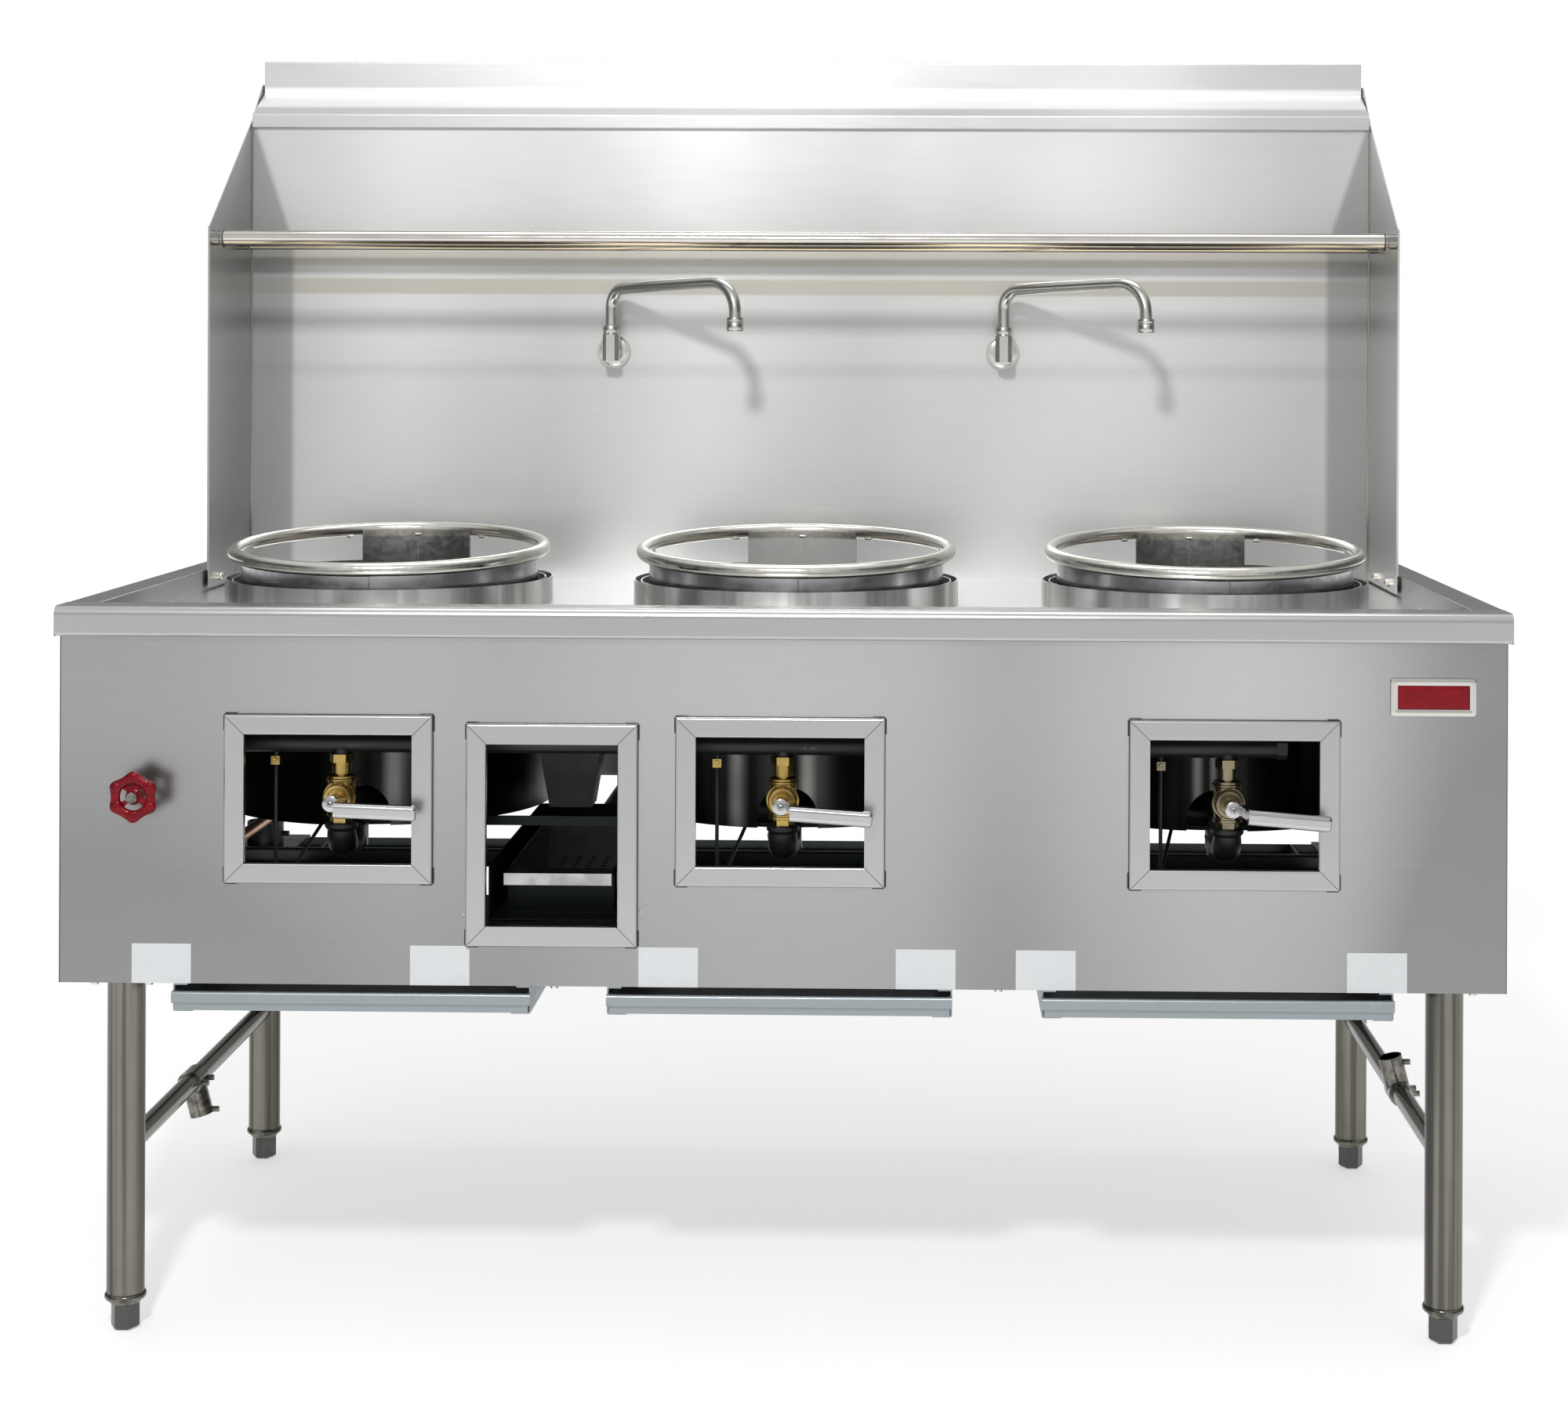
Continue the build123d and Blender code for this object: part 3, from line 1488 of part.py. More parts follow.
foot_names = ("front_left", "front_right", "rear_left", "rear_right")
for name, (x, y, _) in zip(foot_names, leg_places):
    with BuildPart() as foot:
        hex_bar((x, y, 0), (0, 0, 1), foot_height - rest_gap, foot_flats)
        chamfer(foot.faces().sort_by(Axis.Z)[0].edges(), length=foot_chamfer)
        rod((x, y, foot_height - rest_gap), (0, 0, 1), stud_length + rest_gap, stud)
    save(foot, f"foot_{name}")

# ---- side rails and their clamps ----------------------------------------------------------
front_leg_y, rear_leg_y = (front_y + depth for depth in leg_depths)
with BuildPart() as side_rails:
    for x in (-leg_x, leg_x):
        rod(
            (x, front_leg_y, side_rail_height),
            (0, 1, 0),
            rear_leg_y - front_leg_y,
            side_rail,
            side_rail - 2 * side_rail_wall,
        )
        for y in (front_leg_y, rear_leg_y):
            rod(
                (x, y, side_rail_height - side_rail),
                (0, 0, 1),
                2 * side_rail,
                leg_tube,
                mode=Mode.SUBTRACT,
            )
save(side_rails, "side_rails")

clamp_y = front_y + clamp_depth
clamp_outer = side_rail + 2 * clamp_wall
socket_outer = side_rail + 2 * clamp_socket_wall
lean_x = sin(radians(clamp_lean))
lean_z = cos(radians(clamp_lean))
with BuildPart() as rail_clamps:
    for x, socket_axis in ((-leg_x, (lean_x, 0, -lean_z)), (leg_x, (-lean_x, 0, lean_z))):
        rod(
            (x, clamp_y - clamp_length / 2, side_rail_height),
            (0, 1, 0),
            clamp_length,
            clamp_outer,
        )
        rod((x, clamp_y, side_rail_height), socket_axis, clamp_socket, socket_outer)
        for along in (-clamp_length / 3, clamp_length / 3):
            rod(
                (x, clamp_y + along, side_rail_height),
                (1, 0, 0),
                clamp_outer / 2 + clamp_screw_length,
                clamp_screw,
            )
        reach = clamp_socket - clamp_screw
        rod(
            (x + reach * socket_axis[0], clamp_y, side_rail_height + reach * socket_axis[2]),
            (1, 0, 0),
            clamp_outer / 2 + clamp_screw_length,
            clamp_screw,
        )
        socket_start = side_rail / 2 + clamp_wall
        rod(
            (
                x + socket_start * socket_axis[0],
                clamp_y,
                side_rail_height + socket_start * socket_axis[2],
            ),
            socket_axis,
            clamp_socket,
            side_rail + 2 * rest_gap,
            mode=Mode.SUBTRACT,
        )
        rod(
            (x, clamp_y - clamp_length / 2, side_rail_height),
            (0, 1, 0),
            clamp_length,
            side_rail + 2 * stem_play,
            mode=Mode.SUBTRACT,
        )
save(rail_clamps, "rail_clamps")

# ---- bolts that show ----------------------------------------------------------------------
with BuildPart() as body_bolts:
    wing_bolts = [(1, depth) for depth in wing_bolt_depths] + [(-1, wing_bolt_depths[0])]
    for sign, depth in wing_bolts:
        y = front_y + depth
        rod(
            (sign * (wing_inner - wing_bolt_head), y, wing_bolt_z),
            (sign, 0, 0),
            wing_bolt_head,
            wing_bolt,
        )
        rod((sign * wing_inner, y, wing_bolt_z), (sign, 0, 0), sheet, wing_bolt_shank)
        rod((sign * wing_half, y, wing_bolt_z), (sign, 0, 0), wing_gap, wing_bolt)
    for x in panel_bolt_xs:
        rod(
            (x, panel_y + hem / 2, panel_bottom - panel_bolt_head),
            (0, 0, 1),
            panel_bolt_head,
            panel_bolt,
        )
save(body_bolts, "body_bolts")
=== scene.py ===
import math

import bmesh
import bpy
import numpy as np
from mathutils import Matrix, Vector


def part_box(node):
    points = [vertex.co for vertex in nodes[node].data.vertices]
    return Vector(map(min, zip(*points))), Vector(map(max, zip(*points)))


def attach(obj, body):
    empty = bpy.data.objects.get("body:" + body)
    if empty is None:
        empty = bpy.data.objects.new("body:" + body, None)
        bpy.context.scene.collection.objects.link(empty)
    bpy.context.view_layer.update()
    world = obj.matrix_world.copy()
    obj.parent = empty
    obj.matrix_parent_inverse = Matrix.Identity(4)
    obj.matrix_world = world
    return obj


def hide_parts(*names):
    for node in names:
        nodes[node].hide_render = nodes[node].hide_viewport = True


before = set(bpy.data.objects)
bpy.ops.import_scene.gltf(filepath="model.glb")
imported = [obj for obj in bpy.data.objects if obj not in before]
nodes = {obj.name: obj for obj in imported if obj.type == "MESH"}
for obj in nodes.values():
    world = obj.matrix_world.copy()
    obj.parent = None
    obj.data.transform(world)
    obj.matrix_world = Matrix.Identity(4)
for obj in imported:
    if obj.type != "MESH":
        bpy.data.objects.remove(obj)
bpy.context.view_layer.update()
print("frame loaded:", len(nodes), "nodes")


class Tone:
    # a shader socket that can be added, subtracted and multiplied: each sign adds one Math node
    def __init__(self, finish, socket):
        self.finish, self.socket = finish, socket

    def op(self, operation, *values):
        # one Math node of that operation on the values
        return self.finish.node("Math", dict(enumerate(values)), operation=operation)

    def __add__(self, other):
        return self.op("ADD", self, other)

    def __sub__(self, other):
        return self.op("SUBTRACT", self, other)

    def __rsub__(self, other):
        return self.op("SUBTRACT", other, self)

    def __mul__(self, other):
        return self.op("MULTIPLY", self, other)

    def __abs__(self):
        return self.op("ABSOLUTE", self)

    def rise(self, start, end):
        # 0 before start, 1 past end, smooth between; start may lie above end
        return self.finish.node("MapRange", {0: self, 1: start, 2: end}, interpolation_type="SMOOTHSTEP")

    __radd__ = __add__
    __rmul__ = __mul__


class Shading:
    # the empty node tree of a material or of the sky, and the one way to add a node to it
    def __init__(self, owner):
        owner.use_nodes = True
        self.tree = owner.node_tree
        self.tree.nodes.clear()

    def node(self, kind, values, out=0, **settings):
        # a shader node: its type, the numbers or links of its sockets, the socket handed on, its settings
        item = self.tree.nodes.new("ShaderNode" + kind)
        for key, value in settings.items():
            setattr(item, key, value)
        for key, value in values.items():
            if isinstance(value, Tone):
                self.tree.links.new(value.socket, item.inputs[key])
            else:
                item.inputs[key].default_value = value
        return Tone(self, item.outputs[out] if item.outputs else None)


class Finish(Shading):
    # one material: a Principled shader whose patterns sit in Object coordinates
    def __init__(self, name, **settings):
        self.material = bpy.data.materials.new(name)
        super().__init__(self.material)
        self.shader = self.tree.nodes.new("ShaderNodeBsdfPrincipled")
        output = self.tree.nodes.new("ShaderNodeOutputMaterial")
        self.tree.links.new(self.shader.outputs[0], output.inputs[0])
        self.place = self.node("TexCoord", {}, "Object")
        self.x, self.y, self.z = (self.node("SeparateXYZ", {0: self.place}, i) for i in range(3))
        self.feed(**settings)

    def feed(self, **settings):
        # numbers and colours go on the shader's own sockets, patterns are linked to them
        for key, value in settings.items():
            socket = self.shader.inputs[key.replace("_", " ")]
            if isinstance(value, Tone):
                self.tree.links.new(value.socket, socket)
            else:
                socket.default_value = (*value, 1) if isinstance(value, tuple) else value

    def noise(self, scale, detail=2.0, rough=0.5, stretch=(1, 1, 1), warp=0.0):
        # cloudy noise, so many spots to the metre; a small stretch number draws it out along that axis
        place = self.node("Mapping", {"Vector": self.place, "Scale": stretch})
        values = {"Vector": place, "Scale": scale, "Detail": detail, "Roughness": rough, "Distortion": warp}
        return self.node("TexNoise", values)

    def cells(self, scale, out="Color"):
        # cells around scattered points, so many to the metre: each cell's own colour, or the distance to its
        # point
        return self.node("TexVoronoi", {"Vector": self.place, "Scale": scale}, out)

    def mix(self, first, second, share):
        # the share of the way from the first colour to the second; either may be a pattern
        values = {0: share}
        for slot, value in ((6, first), (7, second)):
            values[slot] = value if isinstance(value, Tone) else (*value, 1)
        return self.node("Mix", values, 2, data_type="RGBA")

    def around(self, tone, spread, share):
        # from the tone less the spread to the tone plus the spread
        return self.mix(scaled(tone, 1 - spread), scaled(tone, 1 + spread), share)

    def band(self, line, middle, reach, soft=1.0):
        # 1 at the middle, fading to 0 at the reach on either side, over the soft share of the reach
        return abs(line - middle).rise(reach, reach * (1 - soft))

    def surface(self, colour, roughness, height, strength, depth):
        # what every finish ends with: its colour, its roughness, and its height as bumps this many metres
        # deep
        self.colour = colour
        bumps = self.node("Bump", {"Strength": strength, "Distance": depth, "Height": height})
        self.feed(Base_Color=colour, Roughness=roughness, Normal=bumps)
        return self


def scaled(colour, factor):
    # the colour times the factor, no part of it above 1
    return tuple(min(part * factor, 1.0) for part in colour)


# finishes: patterns are given in spots to the metre, places in metres
steelLook = {
    "grain": 900,
    "hairs": 2600,
    "drawnOut": 0.012,
    "spread": 0.38,
    "grainShare": 0.14,
    "hairShare": 0.12,
}


def brushedSteel(name, grain, tone, roughness, paintedBands=(), cloud=0.05, metallic=1.0, paintedStrips=(), relief=0.05):
    # brightness is a half plus the shares of grain, hairs and soft clouds, each taken about its own middle,
    # plus broad bands of painted sheen and shade (axis, middle, reach, strength); strips of painted shade
    # and highlight (axis, middle, reach, colour, share) are mixed in after
    finish = Finish(name, Metallic=metallic)
    drawnOut = steelLook["drawnOut"]
    stretch = {"x": (drawnOut, 1, 1), "y": (1, drawnOut, 1), "z": (1, 1, drawnOut)}[grain]
    streaks = finish.noise(steelLook["grain"], 4.0, 0.62, stretch)
    hairs = finish.noise(steelLook["hairs"], 2.0, 0.5, stretch)
    clouds = finish.noise(1.6, 2.0, 0.4, (1, 1, 0.6))
    wipes = finish.noise(9.0, 4.0, 0.6, (0.5, 0.5, 1), 0.4)
    light = 0.5 + (streaks - 0.5) * steelLook["grainShare"] + (hairs - 0.5) * steelLook["hairShare"]
    light = light + (clouds - 0.5) * (cloud * 6)
    # broad bands of painted sheen and shade
    for axis, middle, reach, strength in paintedBands:
        light = light + finish.band(getattr(finish, axis), middle, reach) * strength
    colour = finish.around(tone, steelLook["spread"], light)
    # strips of painted shade and highlight
    for axis, middle, reach, stripTone, share in paintedStrips:
        colour = finish.mix(colour, stripTone, finish.band(getattr(finish, axis), middle, reach, 0.35) * share)
    roughness = (streaks - 0.5) * 0.06 + (wipes - 0.5) * 0.06 + roughness
    return finish.surface(colour, roughness, streaks * 0.6 + hairs * 0.4, relief, 0.00002)


def drawnTube(name, tone, roughness, axis="x", contrast=0.16, stripes=0.0, flanks=0.0):
    # brightness is two fifths draw lines, two fifths haze and one fifth rubbed patches, with broader dark
    # stripes of painted reflection; the flanks, where the normal's sideways share nears 1, get painted shade
    stretch = {"x": (0.01, 1, 1), "y": (1, 0.01, 1), "z": (1, 1, 0.01)}[axis]
    finish = Finish(name, Metallic=1.0)
    lines = finish.noise(700, 3.0, 0.6, stretch)
    haze = finish.noise(16, 4.0, 0.6, warp=0.5)
    rubbed = finish.noise(5, 3.0, 0.5, warp=0.8)
    # dark stripes along the tube: painted reflection
    dull = finish.noise(85, 2.0, 0.5, stretch).rise(0.4, 0.62)
    metal = finish.around(tone, contrast, lines * 0.4 + haze * 0.4 + rubbed * 0.2)
    colour = finish.mix(metal, scaled(tone, 0.35), dull * stripes)
    # painted shade on the flanks
    if flanks:
        normal = finish.node("TexCoord", {}, "Normal")
        sideways = abs(finish.node("SeparateXYZ", {0: normal}))
        flank = (sideways + (lines - 0.5) * 0.3).rise(0.62, 0.98)
        colour = finish.mix(colour, scaled(tone, 0.3), flank * flanks)
    return finish.surface(colour, (haze - 0.5) * 0.12 + lines * 0.05 + roughness, lines, 0.08, 0.00003)


def zincSheet(name, tone, contrast=0.2):
    # galvanised sheet: brightness is half pale angular spangles, three tenths dust and one fifth streaks
    finish = Finish(name, Metallic=0.85)
    spangle = finish.node("RGBToBW", {0: finish.cells(60)})
    dust = finish.noise(25, 5.0, 0.6)
    streaks = finish.noise(400, 3.0, 0.6, (0.05, 1, 1))
    colour = finish.around(tone, contrast, spangle * 0.5 + dust * 0.3 + streaks * 0.2)
    return finish.surface(colour, spangle * 0.12 + dust * 0.15 + 0.3, spangle * 0.5 + streaks, 0.12, 0.0001)


stoneLook = {
    "dark": (0.2, 0.18, 0.155),
    "pale": (0.38, 0.355, 0.32),
    "soot": (0.04, 0.035, 0.03),
    "sootZ": (0.86, 0.7),
}


def castStone(look):
    # pale cast stone: grit mixes two tones, pits sink it, and soot grows from the upper to the lower height
    finish = Finish("castStone")
    grit = finish.noise(260, 6.0, 0.7)
    pits = finish.cells(180, "Distance")
    soot = finish.noise(7, 4.0, 0.6)
    stone = finish.mix(look["dark"], look["pale"], grit)
    blackened = soot.rise(0.4, 0.7) * 0.4 + finish.z.rise(*look["sootZ"]) * 0.55
    colour = finish.mix(stone, look["soot"], blackened)
    return finish.surface(colour, grit * 0.1 + 0.82, grit + pits.rise(0.0, 0.25), 0.5, 0.0008)


def sandCast(name, tone, roughness, metallic=0.3, grain=900):
    # cast skin: two fifths fine sand and half a bloom, from the tone to a paler one of 2.2 times it and a
    # little more
    finish = Finish(name, Metallic=metallic)
    sand = finish.noise(grain, 4.0, 0.7)
    bloom = finish.noise(18, 5.0, 0.65, warp=0.6)
    paler = tuple(part * 2.2 + 0.012 for part in tone)
    colour = finish.mix(tone, paler, sand * 0.4 + bloom.rise(0.5, 0.8) * 0.5)
    return finish.surface(colour, (bloom - 0.5) * 0.2 + roughness, sand, 0.3, 0.0003)


brassLook = {
    "bright": (0.5, 0.355, 0.115),
    "brown": (0.24, 0.15, 0.045),
    "dull": (0.3, 0.26, 0.17),
    "dullBrown": (0.13, 0.105, 0.06),
    "oldFromX": (0.25, 0.45),  # the right valve is the oldest
}


def brassBody(look):
    # turned and cast brass: brown tarnish in patches over a bright tone on the left, a dull one on the right
    finish = Finish("brassBody", Metallic=1.0)
    tarnish = finish.noise(38, 4.0, 0.55, warp=0.3)
    sand = finish.noise(1300, 3.0, 0.6)
    bright = finish.mix(look["bright"], look["brown"], tarnish.rise(0.45, 0.75) * 0.7 + sand * 0.12)
    dull = finish.mix(look["dull"], look["dullBrown"], tarnish.rise(0.4, 0.7) * 0.8 + sand * 0.2)
    colour = finish.mix(bright, dull, finish.x.rise(*look["oldFromX"]))
    return finish.surface(colour, tarnish * 0.16 + sand * 0.06 + 0.16, sand * 0.5 + tarnish, 0.08, 0.0002)


def gripMetal(dark, light):
    # satin cast aluminium: seven tenths fine grain along the grip, three tenths scuffs
    finish = Finish("gripMetal", Metallic=1.0)
    scuff = finish.noise(45, 4.0, 0.6, (0.15, 1, 1), 0.3)
    grain = finish.noise(900, 3.0, 0.6, (0.02, 1, 1))
    colour = finish.mix(dark, light, grain * 0.7 + scuff * 0.3)
    return finish.surface(colour, scuff.rise(0.3, 0.75) * 0.1 + 0.14, grain * 0.7 + scuff * 0.3, 0.12, 0.00005)


def redEnamel(name, deep, fresh):
    # thick glossy coat: wear lifts the deep red to the fresh one, and the coat is slightly uneven
    finish = Finish(name, Coat_Weight=0.12, Coat_Roughness=0.05, IOR=1.45, Specular_IOR_Level=0.16)
    uneven = finish.noise(160, 3.0, 0.6)
    wear = finish.noise(60, 5.0, 0.7, warp=0.5)
    colour = finish.mix(deep, fresh, wear.rise(0.35, 0.7))
    return finish.surface(colour, wear * 0.15 + 0.2, uneven, 0.25, 0.0004)


def labelFilm(dark, light):
    # off-white film: three fifths slight crinkle, two fifths faint fibre
    finish = Finish("labelFilm", IOR=1.45)
    crinkle = finish.noise(70, 4.0, 0.55, warp=0.5)
    fibre = finish.noise(1100, 3.0, 0.6)
    colour = finish.mix(dark, light, crinkle * 0.6 + fibre * 0.4)
    return finish.surface(colour, fibre * 0.15 + 0.42, crinkle, 0.2, 0.0002)


def copperTube(fresh, brown):
    # drawn copper: a cloudy bloom takes the fresh tone to brown
    finish = Finish("copperTube", Metallic=1.0)
    bloom = finish.noise(40, 5.0, 0.65, warp=0.5)
    colour = finish.mix(fresh, brown, bloom.rise(0.45, 0.75))
    return finish.surface(colour, bloom * 0.25 + 0.2, bloom, 0.2, 0.0003)


drumLook = {
    "rimZ": (0.9055, 0.9105),
    "rim": ((0.46, 0.46, 0.45), (1.0, 1.0, 0.99)),
    "below": ((0.012, 0.012, 0.012), (0.05, 0.05, 0.048)),
    "frontY": (-0.15, -0.2),
    "glint": (0.42, 0.42, 0.4),
    "glints": (  # painted glints: place across the range, half width, strength
        (-0.52, 0.024, 0.75), (-0.066, 0.018, 0.65), (0.026, 0.016, 0.75),
        (0.045, 0.026, 0.28), (0.543, 0.01, 0.35), (0.564, 0.007, 0.8),
    ),
}


def drumSteel(look):
    # bright above the deck and dark below it, both with upright light and dark stripes of painted reflection,
    # and below it a few painted glints in front
    finish = Finish("drumSteel", Metallic=1.0)
    streaks = finish.noise(600, 3.0, 0.6, (1, 1, 0.02))
    stripes = finish.noise(22, 3.0, 0.55, (1, 1, 0.01))
    soot = finish.noise(16, 5.0, 0.6, warp=0.5)
    above = finish.z.rise(*look["rimZ"])
    # upright light and dark stripes of painted reflection, above and below the deck
    bright = finish.mix(*look["rim"], stripes.rise(0.34, 0.6) * 0.8 + streaks * 0.2)
    dull = finish.mix(*look["below"], stripes.rise(0.42, 0.66) * 0.7 + soot * 0.3)
    front = finish.y.rise(*look["frontY"])
    # painted glints on the dark part in front
    for middle, reach, strength in look["glints"]:
        dull = finish.mix(dull, look["glint"], finish.band(finish.x, middle, reach) * front * strength)
    colour = finish.mix(dull, bright, above)
    return finish.surface(colour, streaks * 0.1 + soot * 0.1 + 0.22, streaks, 0.1, 0.0001)


ringFinishLook = {
    "tube": ((0.54, 0.53, 0.48), (0.86, 0.85, 0.79)),
    "skirt": ((0.38, 0.385, 0.4), (0.6, 0.605, 0.62)),
    "skirtZ": (0.974, 0.978),
    "tilt": 0.063,
    "plate": (0.5, 0.5, 0.485),
    "plateHalf": 0.11,
}


def ringSteel(look):
    # three fifths rubbed marks, two fifths polishing lines; the skirt below the tilted line is duller and
    # bluer, and the rear plate of the middle ring carries a painted reflection, paler and less metallic
    finish = Finish("ringSteel")
    marks = finish.noise(70, 5.0, 0.65, warp=0.8)
    lines = finish.noise(900, 2.0, 0.6, (1, 1, 0.05))
    tube = finish.mix(*look["tube"], marks * 0.6 + lines * 0.4)
    skirt = finish.mix(*look["skirt"], marks * 0.6 + lines * 0.4)
    below = 1 - (finish.z - finish.y * look["tilt"]).rise(*look["skirtZ"])
    # painted reflection on the middle ring's rear plate
    plate = finish.band(finish.x, 0.0, look["plateHalf"], 0.2) * finish.y.rise(0.0, 0.05) * below
    colour = finish.mix(finish.mix(tube, skirt, below), look["plate"], plate * 0.8)
    finish.feed(Metallic=1 - plate * 0.65)
    return finish.surface(colour, marks.rise(0.3, 0.75) * 0.12 + 0.14, marks * 0.4 + lines * 0.6, 0.15, 0.0001)


panelLook = {
    "tone": (0.44, 0.445, 0.44),
    # painted sheen and shade: upright sheens, a darker lower part and darker ends
    "paintedBands": (
        ("x", -0.03, 0.34, 0.14), ("x", 0.58, 0.26, 0.24), ("z", 0.9, 0.2, 0.06), ("z", 0.4, 0.45, -0.44),
        ("x", -0.9, 0.5, -0.26), ("x", 0.9, 0.22, -0.52), ("x", 0.28, 0.12, -0.12), ("x", -0.36, 0.14, -0.06),
    ),
    # thin lines of painted shade along the panel's side edges
    "edges": (("x", -0.9098, 0.0016, (0.05, 0.05, 0.05), 0.8), ("x", 0.9098, 0.0016, (0.08, 0.08, 0.08), 0.6)),
}
panelSteel = brushedSteel(
    "panelSteel", "x", panelLook["tone"], 0.3, panelLook["paintedBands"], paintedStrips=panelLook["edges"], relief=0.03
)
# the band along the rail's top edge is a painted highlight
railSteel = brushedSteel("railSteel", "x", (0.46, 0.462, 0.46), 0.24, (("z", 0.937, 0.008, 0.3),))
# a darker copy of the steel for the side lips: painted shade on their tops
lipSteel = brushedSteel("lipSteel", "y", (0.36, 0.36, 0.355), 0.3)
sideSteel = brushedSteel("sideSteel", "y", (0.42, 0.425, 0.42), 0.28)
# painted shadow of the rack across both wings; the right wing's paler copy of the steel is painted light
wingSteel = brushedSteel("wingSteel", "z", (0.44, 0.445, 0.445), 0.3, (("z", 1.43, 0.16, -0.22),), 0.06)
rightWingSteel = brushedSteel("rightWingSteel", "z", (0.74, 0.74, 0.73), 0.32, (("z", 1.43, 0.2, -0.34),))

backLook = {
    "tone": (0.62, 0.625, 0.615),
    "paintedBands": (
        # painted sheen and shade: upright sheens and dimmer stretches, and a dark line below the rack
        ("x", -0.63, 0.16, 0.14), ("x", -0.16, 0.17, 0.18), ("x", 0.47, 0.24, 0.2), ("x", -0.4, 0.1, -0.06),
        ("x", 0.085, 0.1, -0.06), ("x", 0.77, 0.1, -0.08), ("z", 1.235, 0.02, -0.14),
    ),
    # warm dark lines under the rack: painted shadows of its tubes
    "paintedStrips": (("z", 1.408, 0.014, (0.46, 0.43, 0.36), 0.62), ("z", 1.3645, 0.0145, (0.44, 0.42, 0.34), 0.7)),
    "shadedWidth": (0.067, 0.004),  # the strips beside the wings, from their lower to their upper height
    "shadedZ": (1.43, 1.62),
    "shadedTone": (0.26, 0.265, 0.26),
    "corner": 0.868,
}
backSteel = brushedSteel(
    "backSteel", "x", backLook["tone"], 0.3, backLook["paintedBands"], 0.05, 0.6, backLook["paintedStrips"], 0.015
)
# the ends of the back panel are darker where the wings shade them, narrowing to the top as the wings do
(low, high), (wide, narrow) = backLook["shadedZ"], backLook["shadedWidth"]
taper = backSteel.node("MapRange", {0: backSteel.z, 1: low, 2: high, 3: wide, 4: narrow})
shaded = (abs(backSteel.x) + taper - backLook["corner"]).rise(-0.004, 0.008)
backSteel.feed(Base_Color=backSteel.mix(backSteel.colour, backLook["shadedTone"], shaded * 0.72))

capLook = {
    "tone": (0.58, 0.575, 0.58),
    # painted sheen and shade across the cap
    "paintedBands": (("x", -0.1, 0.3, 0.1), ("x", 0.52, 0.2, 0.2), ("x", 0.2, 0.16, -0.1)),
    # a near-white line of painted highlight along the cap's top
    "slope": (("z", 1.662, 0.021, (0.97, 0.97, 0.97), 0.85),),
}
capSteel = brushedSteel(
    "capSteel", "x", capLook["tone"], 0.3, capLook["paintedBands"], metallic=0.7, paintedStrips=capLook["slope"], relief=0.02
)
deckSteel = brushedSteel("deckSteel", "x", (0.8, 0.8, 0.79), 0.32)
trimSteel = brushedSteel("trimSteel", "x", (0.45, 0.453, 0.45), 0.3, cloud=0.03)
trayZinc = zincSheet("trayZinc", (0.31, 0.34, 0.355), 0.07)
frameZinc = zincSheet("frameZinc", (0.27, 0.29, 0.31))
darkZinc = zincSheet("darkZinc", (0.055, 0.062, 0.062))
ductSheet = zincSheet("ductSheet", (0.035, 0.037, 0.033))
housingSheet = zincSheet("housingSheet", (0.012, 0.016, 0.013))
rackTube = drawnTube("rackTube", (0.66, 0.63, 0.57), 0.09)

rackLook = {
    "centreZ": 1.4279,
    "lines": (  # painted highlight and shade lines along the tubes: height over the tubes' centre, half width, tone, share
        (0.0113, 0.002, (0.2, 0.19, 0.17), 0.7), (0.0052, 0.0007, (0.22, 0.2, 0.17), 0.5),
        (-0.0036, 0.0014, (0.1, 0.08, 0.06), 0.85), (-0.0064, 0.0018, (0.8, 0.62, 0.34), 0.8),
        (-0.0104, 0.0026, (0.12, 0.1, 0.07), 0.85),
    ),
    "sleeve": 0.8515,
    "sleeveTone": (0.2, 0.195, 0.18),
}
rackSteel = drawnTube("rackSteel", (0.7, 0.68, 0.63), 0.1)
# painted highlight and shade lines round the tubes
for rise, reach, shade, share in rackLook["lines"]:
    line = rackSteel.band(rackSteel.z, rackLook["centreZ"] + rise, reach, 0.6)
    rackSteel.colour = rackSteel.mix(rackSteel.colour, shade, line * share)
sleeve = abs(rackSteel.x).rise(rackLook["sleeve"], rackLook["sleeve"] + 0.001)
rackSteel.feed(Base_Color=rackSteel.mix(rackSteel.colour, rackLook["sleeveTone"], sleeve * 0.75))

legTube = drawnTube("legTube", (0.205, 0.198, 0.17), 0.2, "z", 0.45, 0.85, 0.6)
railTube = drawnTube("railTube", (0.23, 0.222, 0.195), 0.16, "y", 0.45, 0.8, 0.4)
spoutMetal = drawnTube("spoutMetal", (0.62, 0.615, 0.59), 0.2, "z")
bezelChrome = drawnTube("bezelChrome", (0.6, 0.595, 0.56), 0.16, "x", flanks=0.55)
stone = castStone(stoneLook)
iron = sandCast("burnerIron", (0.035, 0.034, 0.033), 0.5)
blackPipe = sandCast("blackPipe", (0.008, 0.008, 0.009), 0.4, 0.15)
footIron = sandCast("footIron", (0.075, 0.075, 0.073), 0.3, 0.9, 300)
brass = brassBody(brassLook)
gripAluminium = gripMetal((0.34, 0.342, 0.345), (0.66, 0.662, 0.665))
wheelRed = redEnamel("redEnamel", (0.09, 0.001, 0.004), (0.21, 0.002, 0.008))
badgeRed = redEnamel("badgeRed", (0.15, 0.002, 0.006), (0.19, 0.003, 0.008))
film = labelFilm((0.5, 0.515, 0.525), (0.6, 0.615, 0.625))
copper = copperTube((0.62, 0.3, 0.17), (0.3, 0.15, 0.09))
drum = drumSteel(drumLook)
ring = ringSteel(ringFinishLook)

